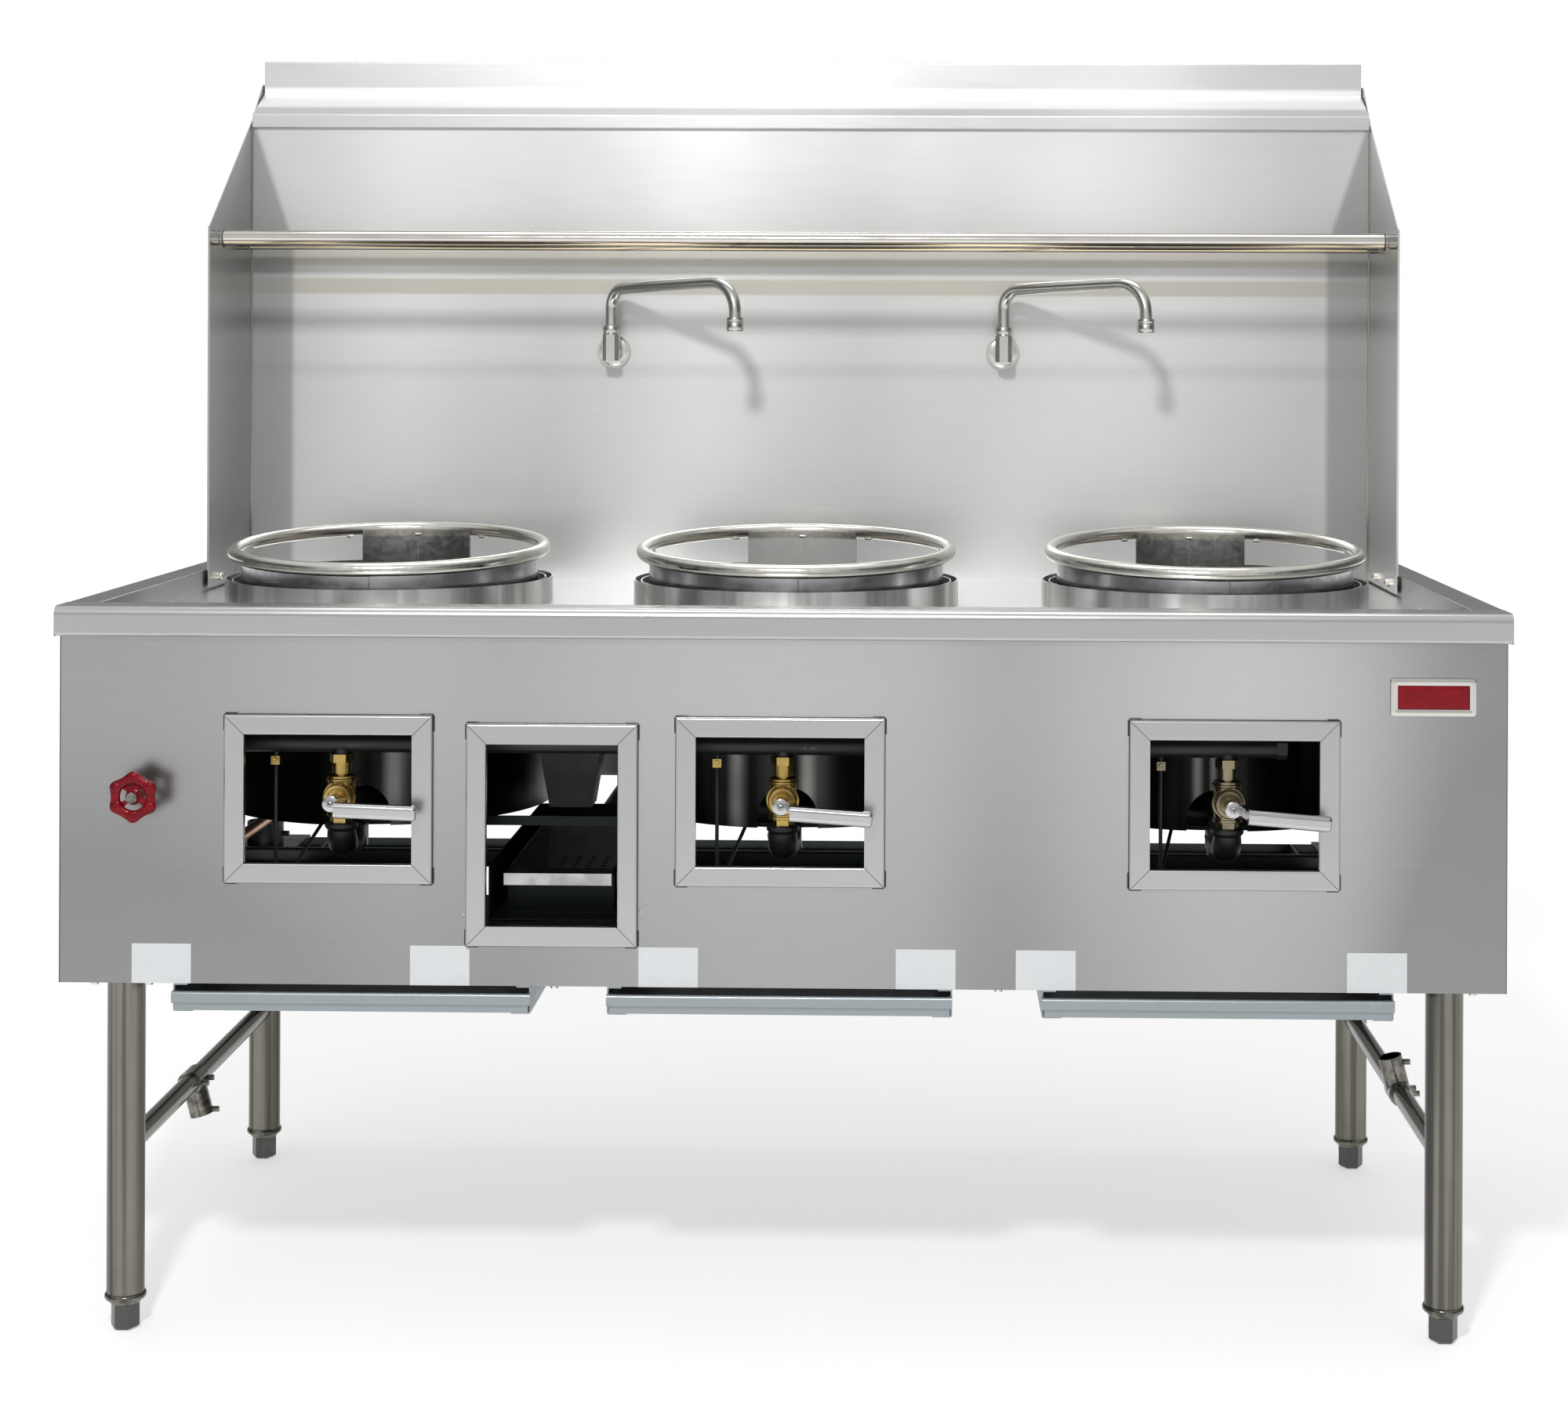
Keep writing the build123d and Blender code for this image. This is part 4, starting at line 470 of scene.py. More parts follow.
drawerLook = {
    "lipY": (-0.3805, -0.3815),
    "lip": ((0.34, 0.335, 0.33), (0.56, 0.555, 0.55)),
    "pan": ((0.09, 0.095, 0.1), (0.22, 0.22, 0.23)),
    "wallY": (-0.3345, -0.336),
    "wall": (0.012, 0.015, 0.012),
}


def drawerSteel(look):
    # bright rippled lip in front, a darker streaked pan behind it, and between them the dark wall of the pan;
    # the pan's darker tone and the near-black wall are painted shade behind the lip
    finish = Finish("drawerSteel", Metallic=1.0)
    streaks = finish.noise(500, 3.0, 0.6, (0.02, 1, 1))
    ripple = finish.noise(38, 2.0, 0.5)
    ahead = finish.y.rise(*look["lipY"])
    lip = finish.mix(*look["lip"], ripple.rise(0.3, 0.7) * 0.8 + streaks * 0.2)
    pan = finish.mix(*look["pan"], streaks * 0.6 + ripple * 0.4)
    # the near-black wall is painted shade
    pan = finish.mix(pan, look["wall"], finish.y.rise(*look["wallY"]))
    colour = finish.mix(pan, lip, ahead)
    return finish.surface(colour, streaks * 0.12 + ripple * 0.05 + 0.2, streaks, 0.15, 0.0001)


drawer = drawerSteel(drawerLook)

# the frame's own nodes keep their shapes and get these finishes
dress = [
    (panelSteel, "front_panel"),
    (railSteel, "front_rail"),
    (lipSteel, "side_lips"),
    (backSteel, "back_panel"),
    (capSteel, "flue_cap"),
    (trimSteel, "window_trims"),
    (sideSteel, "left_side_panel right_side_panel"),
    (wingSteel, "left_wing"),
    (rightWingSteel, "right_wing"),
    (deckSteel, "deck_pan"),
    (trayZinc, "drip_tray_left drip_tray_middle drip_tray_right tray_runners"),
    (frameZinc, "rear_panel flue_box"),
    (darkZinc, "base_frame leg_sockets"),
    (housingSheet, "scrap_housing"),
    (ductSheet, "scrap_hopper"),
    (drawer, "scrap_drawer"),
    (rackSteel, "pot_rack"),
    (rackTube, "body_bolts badge"),
    (legTube, "legs"),
    (railTube, "side_rails rail_clamps handwheel_stem"),
    (ring, "wok_ring_left wok_ring_middle wok_ring_right"),
    (drum, "chamber_left chamber_middle chamber_right"),
    (stone, "chamber_linings"),
    (iron, "burners"),
    (blackPipe, "burner_pipes gas_manifold pilot_tubes"),
    (brass, "gas_valves gas_unions pilot_valves pilot_key_left pilot_key_middle pilot_key_right water_valve"),
    (gripAluminium, "gas_lever_left gas_lever_middle gas_lever_right"),
    (wheelRed, "handwheel"),
    (copper, "water_pipes"),
    (spoutMetal, "faucet_bases spout_left spout_right"),
    (film, "blank_labels"),
    (footIron, "foot_front_left foot_front_right foot_rear_left foot_rear_right"),
]
for finish, names in dress:
    for name in names.split():
        mesh = nodes[name].data
        mesh.materials.clear()
        mesh.materials.append(finish.material)
print("finishes set")


def skin(points, closeU=False, closeV=False):
    # a grid of points (rows, columns, 3) as vertices and four-sided faces; a closed side joins its last to
    # its first
    rows, columns = points.shape[:2]
    index = np.arange(rows * columns).reshape(rows, columns)
    if closeU:
        index = np.vstack((index, index[:1]))
    if closeV:
        index = np.hstack((index, index[:, :1]))
    faces = np.stack((index[:-1, :-1], index[1:, :-1], index[1:, 1:], index[:-1, 1:]), axis=-1)
    return points.reshape(-1, 3), faces.reshape(-1, 4)


def capped(points):
    # closed rings one after the other: the first and last ring are drawn to their own middles
    ends = [np.repeat(points[row].mean(axis=0)[None, None], points.shape[1], axis=1) for row in (0, -1)]
    return skin(np.concatenate((ends[0], points, ends[1])), closeV=True)


def turned(profile, centre, axis, steps=48):
    # a profile of (radius, distance along the axis) turned once round it:
    # centre + radius (cos a side + sin a other) + distance axis
    profile = np.array(profile, float)
    axis = np.array(axis, float) / np.linalg.norm(axis)
    side = np.cross(axis, (0.31, 0.57, 0.76))  # any direction that no axis here runs along
    side /= np.linalg.norm(side)
    other = np.cross(axis, side)
    angle = np.linspace(0, 2 * np.pi, steps, endpoint=False)
    spoke = np.cos(angle)[:, None] * side + np.sin(angle)[:, None] * other
    points = profile[:, 0, None, None] * spoke[None] + profile[:, 1, None, None] * axis + np.array(centre)
    return capped(points)


def carried(section, path, up=(0, 0, 1), scale=None, ends=True):
    # a closed flat section (side, up) carried along a path: point + scale (side share + upright share), where
    # side is square to the path and the given up, and upright square to both
    path = np.array(path, float)
    section = np.array(section, float)
    along = np.gradient(path, axis=0)
    along /= np.linalg.norm(along, axis=1)[:, None]
    side = np.cross(along, np.broadcast_to(np.array(up, float), path.shape))
    side /= np.linalg.norm(side, axis=1)[:, None]
    upright = np.cross(side, along)
    size = np.ones(len(path)) if scale is None else np.array(scale, float)
    spread = section[None, :, 0, None] * side[:, None] + section[None, :, 1, None] * upright[:, None]
    points = path[:, None] + spread * size[:, None, None]
    return capped(points) if ends else skin(points, closeV=True)


def folded(line, sheet, path):
    # a bent strip of sheet: each point of its line (side, up) is moved by the sheet along the sum of its
    # neighbours' normals over one plus their product, and the band between both lines is carried along the
    # path
    line = np.array(line, float)
    run = np.diff(line, axis=0)
    run /= np.linalg.norm(run, axis=1)[:, None]
    normal = np.stack((-run[:, 1], run[:, 0]), axis=1)
    first, second = np.vstack((normal[:1], normal)), np.vstack((normal, normal[-1:]))
    inner = line + (first + second) / (1 + (first * second).sum(axis=1))[:, None] * sheet
    points, faces = carried(np.vstack((line, inner[::-1])), path, ends=False)
    count = len(line)
    i = np.arange(count - 1)
    end = np.stack((i, i + 1, 2 * count - 2 - i, 2 * count - 1 - i), axis=1)
    return points, np.concatenate((faces, end, end + len(points) - 2 * count))


def circle(radius, steps=20, flat=1.0):
    # radius (cos a, flat sin a)
    angle = np.linspace(0, 2 * np.pi, steps, endpoint=False)
    return np.stack((np.cos(angle) * radius, np.sin(angle) * radius * flat), axis=1)


def upright(flat, depth):
    # points (across, height) as points of the upright plane at that depth
    return np.stack((flat[:, 0], np.full(len(flat), depth), flat[:, 1]), axis=-1)


def straight(start, end, steps):
    # evenly spaced points: start + share (end - start)
    return np.linspace(np.array(start, float), np.array(end, float), steps)


def placed(name, data):
    # a new object of the data, in the scene
    item = bpy.data.objects.new(name, data)
    bpy.context.scene.collection.objects.link(item)
    return item


mergeDistance = 0.000004


def piece(name, shells, finish, body, replaces=(), crease=38):
    # several closed shells as one object, merged, facing out, sharp only past the crease angle
    verts, faces, start = [], [], 0
    for points, quads in shells:
        verts.append(points)
        faces.append(quads + start)
        start += len(points)
    mesh = bpy.data.meshes.new(name)
    mesh.from_pydata(np.concatenate(verts).tolist(), [], np.concatenate(faces).tolist())
    shape = bmesh.new()
    shape.from_mesh(mesh)
    bmesh.ops.remove_doubles(shape, verts=shape.verts, dist=mergeDistance)
    bmesh.ops.dissolve_degenerate(shape, edges=shape.edges, dist=mergeDistance)
    bmesh.ops.recalc_face_normals(shape, faces=shape.faces)
    shape.to_mesh(mesh)
    shape.free()
    mesh.shade_smooth()
    mesh.set_sharp_from_angle(angle=math.radians(crease))
    mesh.materials.append(finish.material)
    item = placed(name, mesh)
    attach(item, body)
    if replaces:
        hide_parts(*replaces)
    return item


# places that several pieces share
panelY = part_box("front_panel")[0][1]
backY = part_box("back_panel")[0][1]
windowX = {"left": -0.569, "middle": 0.0, "right": 0.569}
wokX = {"left": -0.575, "middle": 0.0, "right": 0.575}
wokY = -0.0215
valveZ = 0.691
valveY = -0.36
drainX, drainZ = -0.287, 0.6555
corners = np.array(((-1, -1), (1, -1), (1, 1), (-1, 1)))  # of a square

# handwheel
wheelLook = {
    "centre": (-0.805, 0.706),
    "rimMiddle": 0.0231,
    "lobes": 6,
    "lobeHeight": 0.0011,
    "lobeRound": 0.12,
    "rimWidth": 0.0067,
    "rimDepth": 0.0042,
    "padDepth": 0.0011,
    "squareness": 0.8,
    "depthMiddle": -0.4746,
    "openings": ((20, 26), (172, 30), (272, 45)),  # middle and half width in degrees
    "webDepth": -0.4722,
    "web": ((0.008, -0.002), (0.0195, -0.0008), (0.0195, 0.003), (0.008, 0.002)),
    "hub": (
        (0.0098, 0.0025), (0.0102, -0.0005), (0.0096, -0.0018), (0.0084, -0.0024), (0.0078, -0.004),
        (0.007, -0.0046), (0.0046, -0.0046), (0.0046, 0.016), (0.0092, 0.016), (0.0098, 0.006),
    ),
}


def spun(loop, angle, depth, centre):
    # a loop of (radius, depth) at each angle in the upright plane: centre + (radius cos a, depth, radius sin
    # a)
    radius, ahead = loop[..., 0], loop[..., 1]
    angle = angle[:, None]
    points = (radius * np.cos(angle), depth + ahead + 0 * angle, radius * np.sin(angle))
    return np.stack(points, axis=-1) + centre


def handwheelShells(look):
    # rim: its middle and its half width both swell by w = cos(6 a) + 0.12 cos(12 a), so that the inner edge
    # stays round; its half depth steps up on the lobes by 1 / (1 + exp(9 (0.3 - w))); its section is (cos t,
    # sin t), each raised to 0.8
    centre = np.array((look["centre"][0], 0, look["centre"][1]))
    angle = np.linspace(0, 2 * np.pi, 180, endpoint=False)
    lobe = look["lobes"] * (angle - np.pi / 2)
    wave = np.cos(lobe) + look["lobeRound"] * np.cos(2 * lobe)
    turn = np.linspace(0, 2 * np.pi, 24, endpoint=False)[None]
    section = [np.sign(f(turn)) * np.abs(f(turn)) ** look["squareness"] for f in (np.cos, np.sin)]
    radius = (look["rimMiddle"] + look["lobeHeight"] * wave)[:, None]
    width = (look["rimWidth"] + look["lobeHeight"] * wave)[:, None]
    depth = (look["rimDepth"] + look["padDepth"] / (1 + np.exp(9 * (0.3 - wave))))[:, None]
    rim = np.stack((radius + width * section[0], depth * section[1]), axis=-1)
    shells = [skin(spun(rim, angle, look["depthMiddle"], centre), closeU=True, closeV=True)]
    # web: a dished ring, left out over the three openings
    web = np.array(look["web"])[None]
    for place, (middle, half) in enumerate(look["openings"]):
        following, halfFollowing = look["openings"][(place + 1) % 3]
        sweep = np.radians(np.linspace(middle + half, (following - middle) % 360 + middle - halfFollowing, 16))
        shells.append(capped(spun(web, sweep, look["webDepth"], centre)))
    # hub: its profile turned once round the axle
    spin = np.linspace(0, 2 * np.pi, 48, endpoint=False)
    hub = np.array(look["hub"])[None]
    shells.append(skin(spun(hub, spin, look["webDepth"], centre), closeU=True, closeV=True))
    return shells


piece("handwheelCasting", handwheelShells(wheelLook), wheelRed, "wheel", ("handwheel",))
print("handwheel made")

# window trims: a black frame of painted shadow round each, mitre seams, and past each corner a black L
# that is the painted shadow of a folded tab
trimLook = {
    "windows": [(x, 0.699, 0.212, 0.1615) for x in windowX.values()] + [(drainX, drainZ, 0.165, 0.229)],
    "face": 0.0255,
    "proud": 0.008,
    "shadowPast": 0.0006,
    "shadowDepth": 0.0012,
    "under": 0.002,
    "seam": 0.0007,
    "tabShadow": 0.016,
    "tabLean": 1.3,
    "tabDepth": 0.0016,
    "tabRadius": 0.0013,
}


def frameShell(middle, half, inner, outer, back, front):
    # a square section at each corner of a rectangle: middle + corner (half size + inner or outer), at the
    # back or front depth
    section = (inner, back), (outer, back), (outer, front), (inner, front)
    points = [upright(middle + corners * (half + grow), depth) for grow, depth in section]
    return skin(np.stack(points, axis=1), closeU=True, closeV=True)


shadowShells, seamShells = [], []
under, tabShadow = trimLook["under"], trimLook["tabShadow"]
for x, z, width, height in trimLook["windows"]:
    middle, half = np.array((x, z)), np.array((width, height)) / 2
    reach, wide = trimLook["face"] - under, trimLook["face"] + trimLook["shadowPast"]
    # the black frame round the trim is painted shadow
    shadowShells.append(frameShell(middle, half, reach, wide, panelY, panelY - trimLook["shadowDepth"]))
    for right, up in ((-1, -1), (-1, 1), (1, -1), (1, 1)):
        inner = middle + (right, up) * half
        path = upright(straight(inner, inner + np.array((right, up)) * reach, 9), panelY - trimLook["proud"])
        seamShells.append(carried(circle(trimLook["seam"] / 2, 8, 0.3), path, (0, 1, 0)))
        # the black L past the corner is the painted shadow of a folded tab
        bend = ((-tabShadow * right, 0), (-under * right, 0), (0, -under * up), (0, -tabShadow * up * trimLook["tabLean"]))
        path = upright(inner + np.array((right, up)) * wide + bend, panelY - trimLook["tabDepth"])
        shadowShells.append(carried(circle(trimLook["tabRadius"], 8), path, (0, 1, 0)))
piece("trimShadowLines", shadowShells, blackPipe, "range_body")
piece("trimSeams", seamShells, blackPipe, "range_body")
print("window trims made")

# wok rings: weld tacks round the tube, a rippled seam inside the band and a fine one outside
ringLook = {
    "height": 0.9845,
    "tilt": 3.6,
    "band": 0.207,
    "wall": 0.002,
    "tacks": (-112, -68, -20, 200, 62, 118),
    "tackSpread": 3.2,
    "tackOut": 0.0015,
    "tackDrop": 0.0085,
    "tackRadius": 0.0026,
    "seamZ": (0.93, 0.994),
    "seamRadius": 0.0016,
    "crossZ": 0.9895,
    "crossHalf": 0.006,
    "outerX": 0.012,
    "outerZ": (0.93, 0.962),
}


def bead(start, end, radius, bumps, sway=(0, 0, 0)):
    # weld bead with n bumps: a round section along a line at the share s, its size
    # (0.78 + 0.22 |sin(pi n s)|) sqrt(1 - (2 s - 1)^6), swaying by sin(pi n s)
    share = np.linspace(0, 1, bumps * 6)
    ripple = np.sin(share * np.pi * bumps)
    path = np.array(start)[None] + share[:, None] * (np.array(end) - np.array(start))[None]
    path = path + ripple[:, None] * np.array(sway)[None]
    size = (0.78 + 0.22 * np.abs(ripple)) * np.sqrt(np.clip(1 - (2 * share - 1) ** 6, 0.02, 1))
    return carried(circle(radius, 10), path, (0.2, 0.9, 0.3), size)


slope = math.tan(math.radians(ringLook["tilt"]))
for side, x in wokX.items():
    shells = []
    out, tackZ = ringLook["band"] + ringLook["tackOut"], ringLook["height"] - ringLook["tackDrop"]
    for degrees in ringLook["tacks"]:
        ends = []
        for share in (-0.5, 0.5):
            turn = math.radians(degrees + share * ringLook["tackSpread"])
            deep = out * math.sin(turn)
            ends.append((x + out * math.cos(turn), wokY + deep, tackZ + slope * deep))
        shells.append(bead(*ends, ringLook["tackRadius"], 4))
    inside = wokY + ringLook["band"] - ringLook["wall"]
    low, high = ringLook["seamZ"]
    shells.append(bead((x, inside, low), (x, inside, high), ringLook["seamRadius"], 16, (0.0005, 0, 0)))
    half, level = ringLook["crossHalf"], ringLook["crossZ"]
    shells.append(bead((x - half, inside - 0.001, level), (x + half, inside - 0.001, level), 0.0024, 3))
    outside, low, high = wokY - ringLook["band"] - 0.0003, *ringLook["outerZ"]
    place = x + ringLook["outerX"]
    shells.append(bead((place, outside, low), (place, outside, high), 0.0009, 10, (0.0003, 0, 0)))
    piece(f"ringWelds_{side}", shells, ring, f"ring_{side}")
print("ring welds made")

# gas valves: bonnet, packing and mouth rings, malleable elbow, lever washer and screw
valveLook = {
    "bonnet": (
        (0.0, -0.0006), (0.012, -0.0006), (0.0128, -0.0022), (0.017, -0.0022),
        (0.0182, -0.001), (0.0186, 0.002), (0.0186, 0.006), (0.0, 0.006),
    ),
    "packing": ((0.0, 0.0), (0.0206, 0.0), (0.0214, 0.0012), (0.0214, 0.003), (0.0206, 0.0042), (0.0, 0.0042)),
    "upper": ((0.0186, 0.0), (0.0198, 0.001), (0.0198, 0.003), (0.0186, 0.004)),
    "lower": ((0.0176, 0.0), (0.0192, 0.001), (0.0192, 0.0035), (0.0176, 0.0045)),
    # how far each ring lies ahead of the valve and above it
    "rings": {"bonnet": (-0.027, 0), "packing": (-0.0152, 0), "upper": (0, 0.0195), "lower": (0, -0.0255)},
    "elbowTop": 0.034,
    "elbowDrop": 0.03,
    "elbowBend": 0.02,
    "elbowRadius": 0.0178,
    "bandRadius": 0.0212,
    "union": ((0.0, 0.0), (0.0235, 0.0), (0.0245, 0.002), (0.0245, 0.017), (0.0235, 0.019), (0.0, 0.019)),
    "unionBack": 0.041,
    "screwY": -0.4284,
    "washer": ((0.0, 0.0), (0.0094, 0.0), (0.0102, 0.0006), (0.0102, 0.003), (0.0, 0.003)),
    "screw": (
        (0.0, -0.003), (0.0018, -0.0029), (0.0036, -0.0021), (0.0046, -0.0006), (0.0046, 0.0006), (0.0, 0.0006),
    ),
    "slots": ((0.0026, 0.0012), (-0.0012, 0.0026)),
}


def elbowShell(x, look):
    # a round section carried down, round a quarter bend (reach (1 - cos a), -reach sin a) and back; thick
    # bands at both mouths, and the bend's back swells by 0.06 sin(2 a)
    top, reach = valveZ - look["elbowTop"], look["elbowBend"]
    bend = np.radians(np.linspace(0, 90, 17))
    level = top - look["elbowDrop"] + reach - reach * np.sin(bend)
    turn = np.stack((np.full(17, x), valveY + reach * (1 - np.cos(bend)), level), axis=-1)
    start = np.array(((x, valveY, top - 0.001), (x, valveY, top - 0.006)))
    end = np.array(((x, valveY + reach + 0.01, level[-1]), (x, valveY + reach + 0.018, level[-1])))
    path = np.concatenate((start, turn, end))
    swell = np.full(len(path), look["bandRadius"] / look["elbowRadius"])
    swell[2:-2] = 1.0 + 0.06 * np.sin(bend * 2)
    return carried(circle(look["elbowRadius"], 28), path, (1, 0, 0), swell), level[-1]


for side, x in windowX.items():
    shells = []
    for name, (ahead, rise) in valveLook["rings"].items():
        axis = (0, 1, 0) if ahead else (0, 0, 1)
        shells.append(turned(valveLook[name], (x, valveY + ahead, valveZ + rise), axis))
    piece(f"valveRings_{side}", shells, brass, "range_body")
    elbow, level = elbowShell(x, valveLook)
    union = turned(valveLook["union"], (x, valveY + valveLook["unionBack"], level), (0, 1, 0), 6)
    piece(f"gasElbow_{side}", [elbow, union], blackPipe, "range_body")
    front = valveLook["screwY"]
    washer = turned(valveLook["washer"], (x, front, valveZ), (0, 1, 0))
    screw = turned(valveLook["screw"], (x, front, valveZ), (0, 1, 0), 28)
    slots = []
    for across, rise in valveLook["slots"]:
        left, right = ((x + sign * across, front - 0.0029, valveZ + sign * rise) for sign in (-1, 1))
        slots.append(carried(circle(0.0006, 8), (left, (x, front - 0.0031, valveZ), right), (0, 1, 0)))
    piece(f"leverWasher_{side}", [washer, screw], gripAluminium, f"lever_{side}")
    piece(f"leverScrewSlots_{side}", slots, blackPipe, f"lever_{side}")
print("valve fittings made")

# spouts: wall flanges, collars and aerators
spoutLook = {
    "x": 0.302,
    "height": 1.264,
    "columnY": 0.308,
    "columnTop": 1.304,
    "reach": 0.269,
    "swing": 41,
    "outletZ": 1.3106,
    "flange": (
        (0.0, -0.0062), (0.0135, -0.0062), (0.0165, -0.006), (0.0215, -0.0052),
        (0.0248, -0.004), (0.0259, -0.0022), (0.0259, 0.0), (0.0, 0.0),
    ),
    "collar": (
        (0.0, -0.0135), (0.0122, -0.0135), (0.0128, -0.0125), (0.0128, -0.003),
        (0.012, -0.001), (0.0096, 0.0), (0.0, 0.0),
    ),
    "aerator": (
        (0.0, 0.0042), (0.0108, 0.0042), (0.0122, 0.0034), (0.01265, 0.0012), (0.01265, -0.001),
        (0.0121, -0.0018), (0.0121, -0.004), (0.01265, -0.0048), (0.01265, -0.014), (0.0119, -0.0158),
        (0.008, -0.016), (0.0076, -0.014), (0.0, -0.0136),
    ),
}
for side, sign in (("left", -1), ("right", 1)):
    x, column = sign * spoutLook["x"], spoutLook["columnY"]
    flange = turned(spoutLook["flange"], (x, backY, spoutLook["height"]), (0, 1, 0), 64)
    collar = turned(spoutLook["collar"], (x, column, spoutLook["columnTop"]), (0, 0, 1))
    piece(f"spoutFlange_{side}", [flange, collar], spoutMetal, "range_body")
    reach, swing = spoutLook["reach"], math.radians(spoutLook["swing"])
    outlet = (x + reach * math.cos(swing), column - reach * math.sin(swing), spoutLook["outletZ"])
    aerator = turned(spoutLook["aerator"], outlet, (0, 0, 1))
    piece(f"spoutAerator_{side}", [aerator], spoutMetal, f"swing_spout_{side}")
print("spout fittings made")

# badge: bevelled bezel and a blank enamel face; each row is what comes off width and height, corner radius
# and height over the panel
badgeLook = {
    "centre": (0.817, 0.8355),
    "size": (0.1075, 0.048),
    "bezel": (
        (0.0, 0.0046, 0.0), (0.0, 0.0046, 0.0016), (0.0012, 0.0042, 0.0026),
        (0.008, 0.003, 0.004), (0.011, 0.0024, 0.0039),
    ),
    "faceSize": (0.089, 0.029),
    "bezelMouth": ((-0.001, 0.0012, 0.0034), (0.0, 0.001, 0.0022), (0.0, 0.001, 0.0)),
    "face": ((0.0, 0.001, 0.0005), (0.0, 0.001, 0.0022), (0.004, 0.001, 0.0026)),
    "crown": (0.5, 0.001, 0.0027),
}


def roundedLoop(width, height, corner, steps=7):
    # a rectangle, counter-clockwise: each quarter is (half size - corner) + corner (cos a, sin a)
    quarter = np.linspace(0, np.pi / 2, steps)
    parts = []
    for turn, (right, up) in enumerate(((1, 1), (-1, 1), (-1, -1), (1, -1))):
        angle = quarter + turn * np.pi / 2
        across = right * (width / 2 - corner) + corner * np.cos(angle)
        parts.append(np.stack((across, up * (height / 2 - corner) + corner * np.sin(angle)), axis=-1))
    return np.concatenate(parts)


def plateRings(centre, rows):
    # rounded rectangles (width, height, corner, height over the panel), each one grid row
    return np.stack([upright(roundedLoop(*size) + centre, panelY - proud) for *size, proud in rows])


(width, height), (faceWidth, faceHeight) = badgeLook["size"], badgeLook["faceSize"]
bezelRows = [(width - less, height - less, *rest) for less, *rest in badgeLook["bezel"]]
bezelRows += [(faceWidth - less, faceHeight - less, *rest) for less, *rest in badgeLook["bezelMouth"]]
bezel = skin(plateRings(badgeLook["centre"], bezelRows), closeU=True, closeV=True)
piece("badgeBezel", [bezel], bezelChrome, "range_body", crease=25)
faceRows = [(faceWidth - less, faceHeight - less, *rest) for less, *rest in badgeLook["face"]]
share, *rest = badgeLook["crown"]
faceRows.append((faceWidth * share, faceHeight * share, *rest))
face = capped(plateRings(badgeLook["centre"], faceRows))
piece("badgeFace", [face], badgeRed, "range_body", ("badge",))
print("badge made")

# drum floors: dark pans with an up-turned edge, seen through the arches
drumFloorLook = {"radius": 0.2262, "height": 0.6325, "thick": 0.0016, "edge": 0.006}
for side, x in wokX.items():
    radius, low, thick, edge = drumFloorLook.values()
    profile = ((0.0, 0.0), (radius - 0.003, 0.0), (radius - 0.0008, 0.0008), (radius, 0.003), (radius, edge))
    profile += ((radius - thick, edge), (radius - thick, thick + 0.002), (radius - 0.004, thick), (0.0, thick))
    pan = turned(profile, (x, wokY, low), (0, 0, 1), 96)
    piece(f"drumFloor_{side}", [pan], iron, "range_body")

# legs: drawn tubes with a rolled bead above each foot
legLook = {"radius": 0.024, "bead": 0.0266, "foot": 0.033, "beadMiddle": 0.0425, "top": 0.52}
legShells = []
for name in ("front_left", "front_right", "rear_left", "rear_right"):
    low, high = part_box("foot_" + name)
    radius, bulge, foot, middle, top = legLook.values()
    swell = np.radians(np.linspace(-70, 80, 9))
    profile = [(0.0, foot), (0.0188, foot), (0.0202, foot + 0.0012), (0.0215, foot + 0.0045)]
    profile += [(bulge - 0.0034 + 0.0034 * math.cos(a), middle + 0.0044 * math.sin(a)) for a in swell]
    profile += [(radius + 0.0002, middle + 0.0056), (radius, middle + 0.0074), (radius, top - 0.001)]
    profile += [(radius - 0.001, top), (0.0, top)]
    legShells.append(turned(profile, ((low[0] + high[0]) / 2, (low[1] + high[1]) / 2, 0), (0, 0, 1), 72))
piece("legTubes", legShells, legTube, "range_body", ("legs",))
print("drum floors and leg tubes made")

# cross angle lying on the base frame behind the drums, broken where the scrap housing runs through
angleLook = {
    "y": 0.25,
    "low": 0.4834,
    "rise": 0.0216,
    "foot": 0.018,
    "hem": 0.009,
    "sheet": 0.0015,
    "turn": 0.0022,
    "runs": ((-0.896, -0.396), (-0.178, 0.896)),
}
rise, foot, turn = angleLook["rise"], angleLook["foot"], angleLook["turn"]
ease = turn * 0.3
line = ((foot, 0.0), (turn, 0.0), (ease, ease), (0.0, turn), (0.0, rise - turn))
line += ((-ease, rise - ease), (-turn, rise), (-angleLook["hem"], rise))
place = (angleLook["y"], angleLook["low"])
angleShells = []
for start, end in angleLook["runs"]:
    angleShells.append(folded(line, -angleLook["sheet"], straight((start, *place), (end, *place), 8)))
piece("crossAngle", angleShells, darkZinc, "range_body", crease=20)

# apron between the scrap housing's floor and the front panel
apronLook = {
    "x": (-0.3715, -0.2025),
    "y": -0.3905,
    "z": 0.5395,
    "depth": 0.0425,
    "drop": 0.01,
    "sheet": 0.0012,
    "turn": 0.0016,
}
depth, drop, turn = apronLook["depth"], apronLook["drop"], apronLook["turn"]
line = ((0.0, 0.0), (depth - turn, 0.0), (depth - turn * 0.3, -turn * 0.3), (depth, -turn), (depth, -drop))
ends = [(x, apronLook["y"], apronLook["z"]) for x in apronLook["x"]]
apron = folded(line, -apronLook["sheet"], straight(*ends, 6))
piece("housingApron", [apron], housingSheet, "range_body", crease=20)

